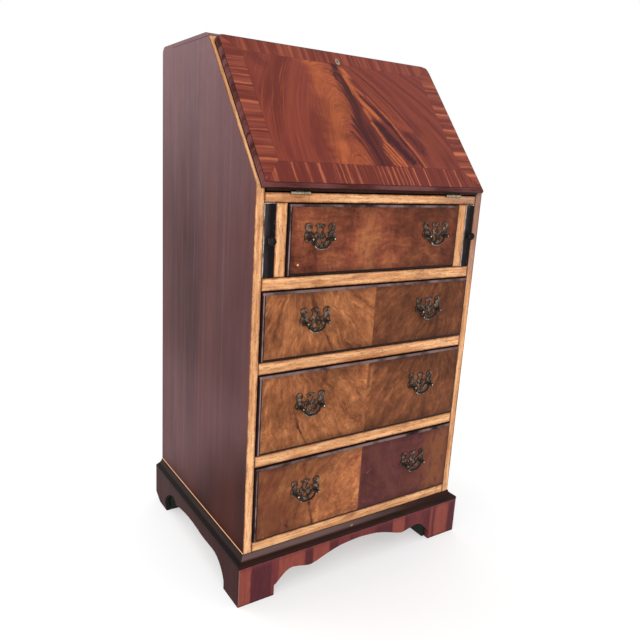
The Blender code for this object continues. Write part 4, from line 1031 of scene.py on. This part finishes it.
class BUREAU_OT_stage(bpy.types.Operator):
    """Floor, soft light and the camera at the photograph's viewing angle"""

    bl_idname = "bureau.stage"
    bl_label = "Stage"

    def execute(self, context):
        bpy.ops.object.select_all(action="DESELECT")
        bpy.ops.mesh.primitive_circle_add(vertices=96, radius=14, fill_type="NGON")
        floor = context.object
        floor.name = "studio_floor"
        floor.data.materials.append(made("pale_floor", floor_paint))
        world = bpy.data.worlds.new("studio")
        world.use_nodes = True
        world.node_tree.nodes["Background"].inputs["Color"].default_value = (1, 1, 1, 1)
        world.node_tree.nodes["Background"].inputs["Strength"].default_value = 1.0
        context.scene.world = world
        middle = Vector((0, 0, 0.5))
        for name, place, power in lights:
            bpy.ops.object.light_add(type="AREA", location=place)
            light = context.object
            light.name = name
            light.data.size = context.scene.bureau_sizes.light_size
            light.data.energy = power
            light.rotation_euler = (middle - Vector(place)).to_track_quat("-Z", "Y").to_euler()
        bpy.ops.object.camera_add(location=camera_place)
        camera = context.object
        backward = camera_right.cross(camera_up)
        camera.rotation_euler = Matrix((camera_right, camera_up, backward)).transposed().to_euler()
        for name, setting in camera_settings.items():
            setattr(camera.data, name, setting)
        context.scene.camera = camera
        context.scene.view_settings.view_transform = "Standard"
        return {"FINISHED"}


class BUREAU_OT_carcase(bpy.types.Operator):
    """Sides, top, rails, dividers and partitions"""

    bl_idname = "bureau.carcase"
    bl_label = "Carcase boards"

    def execute(self, context):
        stained = made("case_mahogany_upright", case_mahogany, "z")
        for side in sides:
            board = eased_copy(f"side_{side}", f"case_side_{side}", "carcase", "mahogany", stained)
            board.data.materials.append(made(f"raw_edge_{side}", raw_wood, "z", f"side_{side}"))
            board.data.materials.append(made(f"raw_slope_{side}", raw_wood, "slope", f"side_{side}"))
            choose_faces(board, 1, lambda face: face.normal.y < -0.85)
            choose_faces(board, 2, lambda face: -0.86 < face.normal.y < -0.25 and face.normal.z > 0.1
                         and face.center.z > bed_top)
        top = eased_copy("top_board", "case_top", "carcase", "mahogany",
                         made("case_mahogany_level", case_mahogany, "x"))
        lap = case_inner + 0.0005
        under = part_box("top_board")[1].z - 0.02
        for slot_number, (side, sign) in enumerate(zip(sides, (-1, 1)), 1):
            top.data.materials.append(bpy.data.materials[f"raw_slope_{side}"])
            choose_faces(top, slot_number, lambda face: face.normal.y < -0.1
                         and face.center.x * sign > lap and face.center.z > under)
        for along, nodes in (("x", ("top_rail", "divider_1", "divider_2", "divider_3", "bottom_board")),
                             ("z", ("partition_left", "partition_right"))):
            for node in nodes:
                stripped = made(f"raw_{node}", raw_wood, along, node)
                eased_copy(node, f"{node}_stripped", "carcase", "raw_wood", stripped)
        return {"FINISHED"}


class BUREAU_OT_inside(bpy.types.Operator):
    """Writing bed, back, pigeonhole fitment and drawer boxes"""

    bl_idname = "bureau.inside"
    bl_label = "Inside"

    def execute(self, context):
        pine_x = made("pine_level", plain_pine, "x")
        pine_z = made("pine_upright", plain_pine, "z")
        level = made("case_mahogany_level", case_mahogany, "x")
        upright = made("case_mahogany_upright", case_mahogany, "z")
        for node, name, slot, finish in (
                ("writing_bed", "writing_bed_board", "secondary_pine", level),
                ("back_board", "back_panel", "secondary_pine", pine_z),
                ("fitment_shelf", "pigeonhole_shelf", "mahogany", level),
                ("fitment_upright", "pigeonhole_upright", "mahogany", upright)):
            eased_copy(node, name, "carcase", slot, finish)
        side_depth = 0.0125
        for number in drawers:
            node = f"drawer_box_{number}"
            box = eased_copy(node, f"drawer_{number}_box", f"drawer_{number}", "secondary_pine", pine_x)
            box.data.materials.append(made("pine_through", plain_pine, "y"))
            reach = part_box(node)[1].x - side_depth
            choose_faces(box, 1, lambda face: abs(face.center.x) > reach)
        return {"FINISHED"}


class BUREAU_OT_base(bpy.types.Operator):
    """Base mouldings, plinth and corner blocks"""

    bl_idname = "bureau.base"
    bl_label = "Plinth and mouldings"

    def execute(self, context):
        sizes = context.scene.bureau_sizes
        front = made("plinth_veneer_front", plinth_veneer, "x")
        flank = made("plinth_veneer_side", plinth_veneer, "y")
        block = made("corner_block_stain", stained_block)
        for place in ("front", *sides):
            stain = made(f"base_moulding_stain_{place}", dark_moulding, place)
            eased_copy(f"base_moulding_{place}", f"moulding_{place}", "carcase", "dark_moulding",
                       stain, sizes.fine_arris)
            board = eased_copy(f"plinth_{place}", f"plinth_{place}_board", "carcase", "plinth_veneer",
                               front if place == "front" else flank, sizes.plinth_arris)
            board.data.materials.append(block)
            choose_faces(board, 1, lambda face: max(abs(face.normal.x), -face.normal.y) < 0.6
                         if place == "front" else abs(face.normal.x) < 0.6)
        for end in ("front", "back"):
            for side in sides:
                eased_copy(f"foot_block_{end}_{side}", f"corner_block_{end}_{side}", "carcase",
                           "stained_block", block, sizes.block_arris)
        return {"FINISHED"}


class BUREAU_OT_fall(bpy.types.Operator):
    """Fall board, its escutcheon, hinges and lock"""

    bl_idname = "bureau.fall"
    bl_label = "Fall"

    def execute(self, context):
        small = context.scene.bureau_sizes.fitting_arris
        board = eased_copy("fall_board", "fall_panel", "fall", "flame_veneer",
                           made("fall_flame_veneer", fall_veneer), small * 0.6)
        board.data.materials.append(made("case_mahogany_level", case_mahogany, "x"))
        outward = Vector((0, -slope_z, slope_y))
        choose_faces(board, 1, lambda face: face.normal.dot(outward) < -0.5)
        brass = made("hinge_brass", fitting_metal, "brass_bright")
        steel = made("lock_steel", fitting_metal, "steel")
        eased_copy("escutcheon", "keyhole_escutcheon", "fall", "bright_brass",
                   made("escutcheon_brass", fitting_metal, "brass_bright"), small)
        eased_copy("fall_lock", "fall_lock_case", "fall", "steel", steel, small)
        eased_copy("lock_bolt", "lock_bolt_bar", "lock_bolt", "bright_brass", brass, small)
        for side in sides:
            for leaf, body in (("fixed", "carcase"), ("moving", "fall")):
                eased_copy(f"hinge_{leaf}_{side}", f"hinge_leaf_{leaf}_{side}", body, "bright_brass",
                           brass, small / 2)
        return {"FINISHED"}


# Half of the knob's outline: share of its radius, and share of its reach from the tip
knob_profile = (
    (0, 0), (0.30, 0.02), (0.62, 0.08), (0.86, 0.18), (0.98, 0.30), (0.98, 0.40), (0.84, 0.52),
    (0.56, 0.64), (0.46, 0.74), (0.48, 0.82), (0.70, 0.88), (0.78, 0.93), (0.78, 1.0), (0.40, 1.0),
    (0.40, 1.45), (0, 1.45))


class BUREAU_OT_lopers(bpy.types.Operator):
    """Ebonised lopers and their turned knobs"""

    bl_idname = "bureau.lopers"
    bl_label = "Lopers"

    def execute(self, context):
        arris = context.scene.bureau_sizes.loper_arris
        for side in sides:
            node = f"loper_{side}"
            ebony = made(f"ebonised_{side}", ebonised_wood, node)
            eased_copy(node, f"{node}_slide", node, "ebonised_wood", ebony, arris)
            low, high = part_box(f"loper_knob_{side}")
            middle = (low + high) / 2
            radius, reach = (high.x - low.x) / 2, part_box(node)[0].y - low.y
            knob = spun(f"{node}_knob", [(r * radius, p * reach) for r, p in knob_profile],
                        (middle.x, low.y, middle.z), steps=40)
            finished(knob, node, "ebonised_wood", ebony, nodes=(f"loper_knob_{side}",))
        return {"FINISHED"}


class BUREAU_OT_drawer_fronts(bpy.types.Operator):
    """Drawer fronts in figured veneer with a moulded edge"""

    bl_idname = "bureau.drawer_fronts"
    bl_label = "Drawer fronts"

    def execute(self, context):
        for number in drawers:
            veneer = made(f"drawer_veneer_{number}", drawer_veneer, number)
            eased_copy(f"drawer_front_{number}", f"drawer_{number}_front", f"drawer_{number}",
                       "drawer_veneer", veneer, context.scene.bureau_sizes.fine_arris)
        return {"FINISHED"}


# Half of the batwing plate's outline in millimetres, top middle to bottom middle, and its sharp turns
plate_outline = (
    (0.0, 24.6), (5.6, 24.0), (10.4, 21.6, "sharp"), (7.0, 18.4), (6.2, 14.4), (9.4, 9.6), (14.0, 9.4),
    (18.6, 13.2), (16.0, 17.6, "sharp"), (17.4, 22.6), (23.4, 25.9), (29.3, 24.0), (30.8, 18.6),
    (28.8, 12.6), (30.9, 7.6), (31.6, 2.4), (30.2, -2.6), (26.0, -5.2), (20.6, -5.6),
    (16.4, -6.4, "sharp"), (13.6, -10.6), (8.4, -14.9), (0.0, -17.0))

# Its piercings in millimetres: a bell at the top, and ovals: middle, half width, half height and tilt
bell = ((0, 17.8), (4.9, 17.2, "sharp"), (4.2, 12.6), (0, 6.4, "sharp"), (-4.2, 12.6), (-4.9, 17.2, "sharp"))
middle_ovals = ((0, -6.6, 4.1, 4.4, 0), (0, 1.7, 1.1, 2.0, 0))
paired_ovals = ((14.6, 3.6, 2.1, 4.2, -0.40), (9.4, -3.0, 2.1, 4.6, -0.34), (7.4, 5.6, 1.5, 3.1, -0.66),
                (22.0, 19.4, 2.0, 3.9, -0.90), (28.0, 2.1, 1.9, 3.2, 0.0))

# Half of a post's outline in millimetres: radius and place along y. Then its distance from the middle
# of the handle, where its bore for the bail's pin lies, and the bore's radius and depth, in metres
post_profile = (
    (0, -14.5), (1.3, -14.2), (2.5, -13.4), (3.3, -12.2), (3.6, -10.7), (3.3, -9.2), (2.4, -8.2),
    (1.9, -7.4), (1.8, -5.0), (2.2, -3.6), (3.4, -2.8), (4.2, -2.3), (4.4, -1.7), (4.4, -1.0), (0, -1.0))
post_reach = 0.022
bore_place, bore_radius, bore_depth = (0.0009, -0.0107, 0), 0.0019, 0.006

# Half of the bail in millimetres: x, how far it stands out, z, swell, and whether it runs straight on
bail_half = (
    (23.6, 10.7, 0.0, 1.0, "straight"), (17.8, 10.7, 0.0, 1.1, "straight"), (16.0, 10.5, -2.4, 1.2),
    (15.1, 9.4, -7.3, 1.22), (12.7, 8.0, -12.2, 1.30), (7.3, 7.2, -15.4, 1.40))
bail_middle = (0, 7.0, -16.3, 1.45)


class BUREAU_OT_handles(bpy.types.Operator):
    """Pierced batwing plates, their posts and swan-neck bails"""

    bl_idname = "bureau.handles"
    bl_label = "Handles"

    def execute(self, context):
        sizes = context.scene.bureau_sizes
        patina = made("old_brass_patina", old_brass)
        # Paler brass for the plate faces and bright brass for the post tips and the bail's painted highlight
        rubbed_and_highlight = made("old_brass_rubbed", old_brass, 0.42)
        tips = made("old_brass_polished", old_brass, 0.85)
        proud = Vector((0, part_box("handle_plate_1_left")[1].y - drawer_face, 0))
        plate = self.plate(sizes)
        post = self.post()
        bail = self.bail(sizes)
        for number in drawers:
            for side in sides:
                handle = f"{number}_{side}"
                low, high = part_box(f"bail_{handle}")
                axis = Vector(((low.x + high.x) / 2, drawer_face, high.z - sizes.bail_wire))
                body = f"drawer_{number}"
                piece = copied(plate, f"back_plate_{handle}", axis)
                finished(piece, body, "antique_brass", patina, rubbed_and_highlight,
                         nodes=(f"handle_plate_{handle}",))
                for end, way in (("a", -1), ("b", 1)):
                    piece = copied(post, f"handle_post_{handle}_{end}",
                                   axis + proud + Vector((way * post_reach, 0, 0)), flip=way > 0)
                    finished(piece, body, "antique_brass", patina, tips)
                piece = copied(bail, f"swan_neck_bail_{handle}", axis + proud)
                finished(piece, f"bail_{handle}", "antique_brass", patina, tips,
                         nodes=(f"bail_{handle}",))
        for pattern in (plate, post, bail):
            bpy.data.objects.remove(pattern)
        return {"FINISHED"}

    def plate(self, sizes):
        """The pierced plate at the origin, its back a hair off the drawer face."""
        outline = [*plate_outline, *[(-x, *rest) for x, *rest in plate_outline[-2:0:-1]]]
        ovals = [*middle_ovals, *[(way * x, z, across, up, way * tilt) for way in (1, -1)
                                  for x, z, across, up, tilt in paired_ovals]]
        loops = (outline, bell, *[self.oval(*oval) for oval in ovals])
        edge = sizes.plate_edge
        shape = drawn("plate_pattern", [[(x, z, 0, 1, *sharp) for x, z, *sharp in loop] for loop in loops],
                      closed=True, dimensions="2D", fill_mode="BOTH", bevel_depth=edge, offset=-edge,
                      extrude=sizes.plate_thickness / 2 - edge, bevel_resolution=1, resolution_u=5)
        hair = 0.1 * millimetre
        shape.data.transform(Matrix.Rotation(math.pi / 2, 4, "X"))
        shape.data.transform(Matrix.Translation((0, -sizes.plate_thickness / 2 - hair, 0)))
        edit_all(shape)
        close_up(fine_weld)
        # The front faces take the paler brass and the chamfers keep the dark patina: partly wear, partly
        # painted shade on the chamfers
        choose_faces(shape, 1, lambda face: face.normal.y < -0.95)
        smoothed(30)
        return shape

    def oval(self, x, z, across, up, tilt):
        """An oval of eight points, tilted about its middle."""
        points = []
        for n in range(8):
            turn = n * math.tau / 8
            px, pz = across * math.cos(turn), up * math.sin(turn)
            points.append((x + px * math.cos(tilt) - pz * math.sin(tilt),
                           z + px * math.sin(tilt) + pz * math.cos(tilt)))
        return points

    def post(self):
        """A turned post at the origin, bored for the bail's pin on its inner side."""
        profile = [(radius * millimetre, place * millimetre) for radius, place in post_profile]
        post = spun("post_pattern", profile, (0, 0, 0))
        bpy.ops.object.select_all(action="DESELECT")
        bpy.ops.mesh.primitive_cylinder_add(vertices=20, radius=bore_radius, depth=bore_depth,
                                            location=bore_place, rotation=(0, math.pi / 2, 0))
        bore = bpy.context.object
        apply(post, "BOOLEAN", operation="DIFFERENCE", object=bore, solver="EXACT")
        bpy.data.objects.remove(bore)
        # The front-facing tips take the bright brass: partly polish, partly a painted highlight
        choose_faces(post, 1, lambda face: face.normal.y < -0.88 and face.center.y < -0.0125)
        return post

    def bail(self, sizes):
        """The swan-neck bail at the origin, hanging from its pins."""
        points = [*bail_half, bail_middle, *[(-x, *rest) for x, *rest in reversed(bail_half)]]
        shape = drawn("bail_pattern", [[(x, -out, z, *rest) for x, out, z, *rest in points]],
                      closed=False, bevel_depth=sizes.bail_wire, bevel_resolution=6, use_fill_caps=True,
                      resolution_u=8)
        edit_all(shape)
        close_up(fine_weld)
        # Painted highlight: the bail's lower front faces take the bright brass
        choose_faces(shape, 1, lambda face: face.center.z < -0.008 and face.normal.y < -0.45
                     and face.normal.z < -0.45)
        smoothed(50)
        return shape


class BUREAU_PT_panel(bpy.types.Panel):
    """Lists the bureau's pieces in the 3D view's sidebar"""

    bl_idname = "BUREAU_PT_panel"
    bl_label = "Bureau"
    bl_space_type = "VIEW_3D"
    bl_region_type = "UI"
    bl_category = "Bureau"

    def draw(self, context):
        for operator in operators:
            self.layout.operator(operator.bl_idname)
        for group in (context.scene.bureau_sizes, context.scene.bureau_colours):
            box = self.layout.box()
            for name in group.bl_rna.properties.keys():
                if name not in ("rna_type", "name"):
                    box.prop(group, name)


operators = (BUREAU_OT_stage, BUREAU_OT_carcase, BUREAU_OT_inside, BUREAU_OT_base, BUREAU_OT_fall,
             BUREAU_OT_lopers, BUREAU_OT_drawer_fronts, BUREAU_OT_handles)
classes = (BUREAU_PG_sizes, BUREAU_PG_colours, *operators, BUREAU_PT_panel)


def register():
    """Makes the classes known and gives the scene their values."""
    for made_class in classes:
        bpy.utils.register_class(made_class)
    bpy.types.Scene.bureau_sizes = PointerProperty(type=BUREAU_PG_sizes)
    bpy.types.Scene.bureau_colours = PointerProperty(type=BUREAU_PG_colours)


def unregister():
    """Takes the classes and their values away again."""
    del bpy.types.Scene.bureau_colours
    del bpy.types.Scene.bureau_sizes
    for made_class in reversed(classes):
        bpy.utils.unregister_class(made_class)


def main():
    """Builds the whole scene."""
    register()
    bpy.ops.bureau.stage()
    bpy.ops.bureau.carcase()
    bpy.ops.bureau.inside()
    bpy.ops.bureau.base()
    bpy.ops.bureau.fall()
    bpy.ops.bureau.lopers()
    bpy.ops.bureau.drawer_fronts()
    bpy.ops.bureau.handles()


if __name__ == "__main__":
    main()
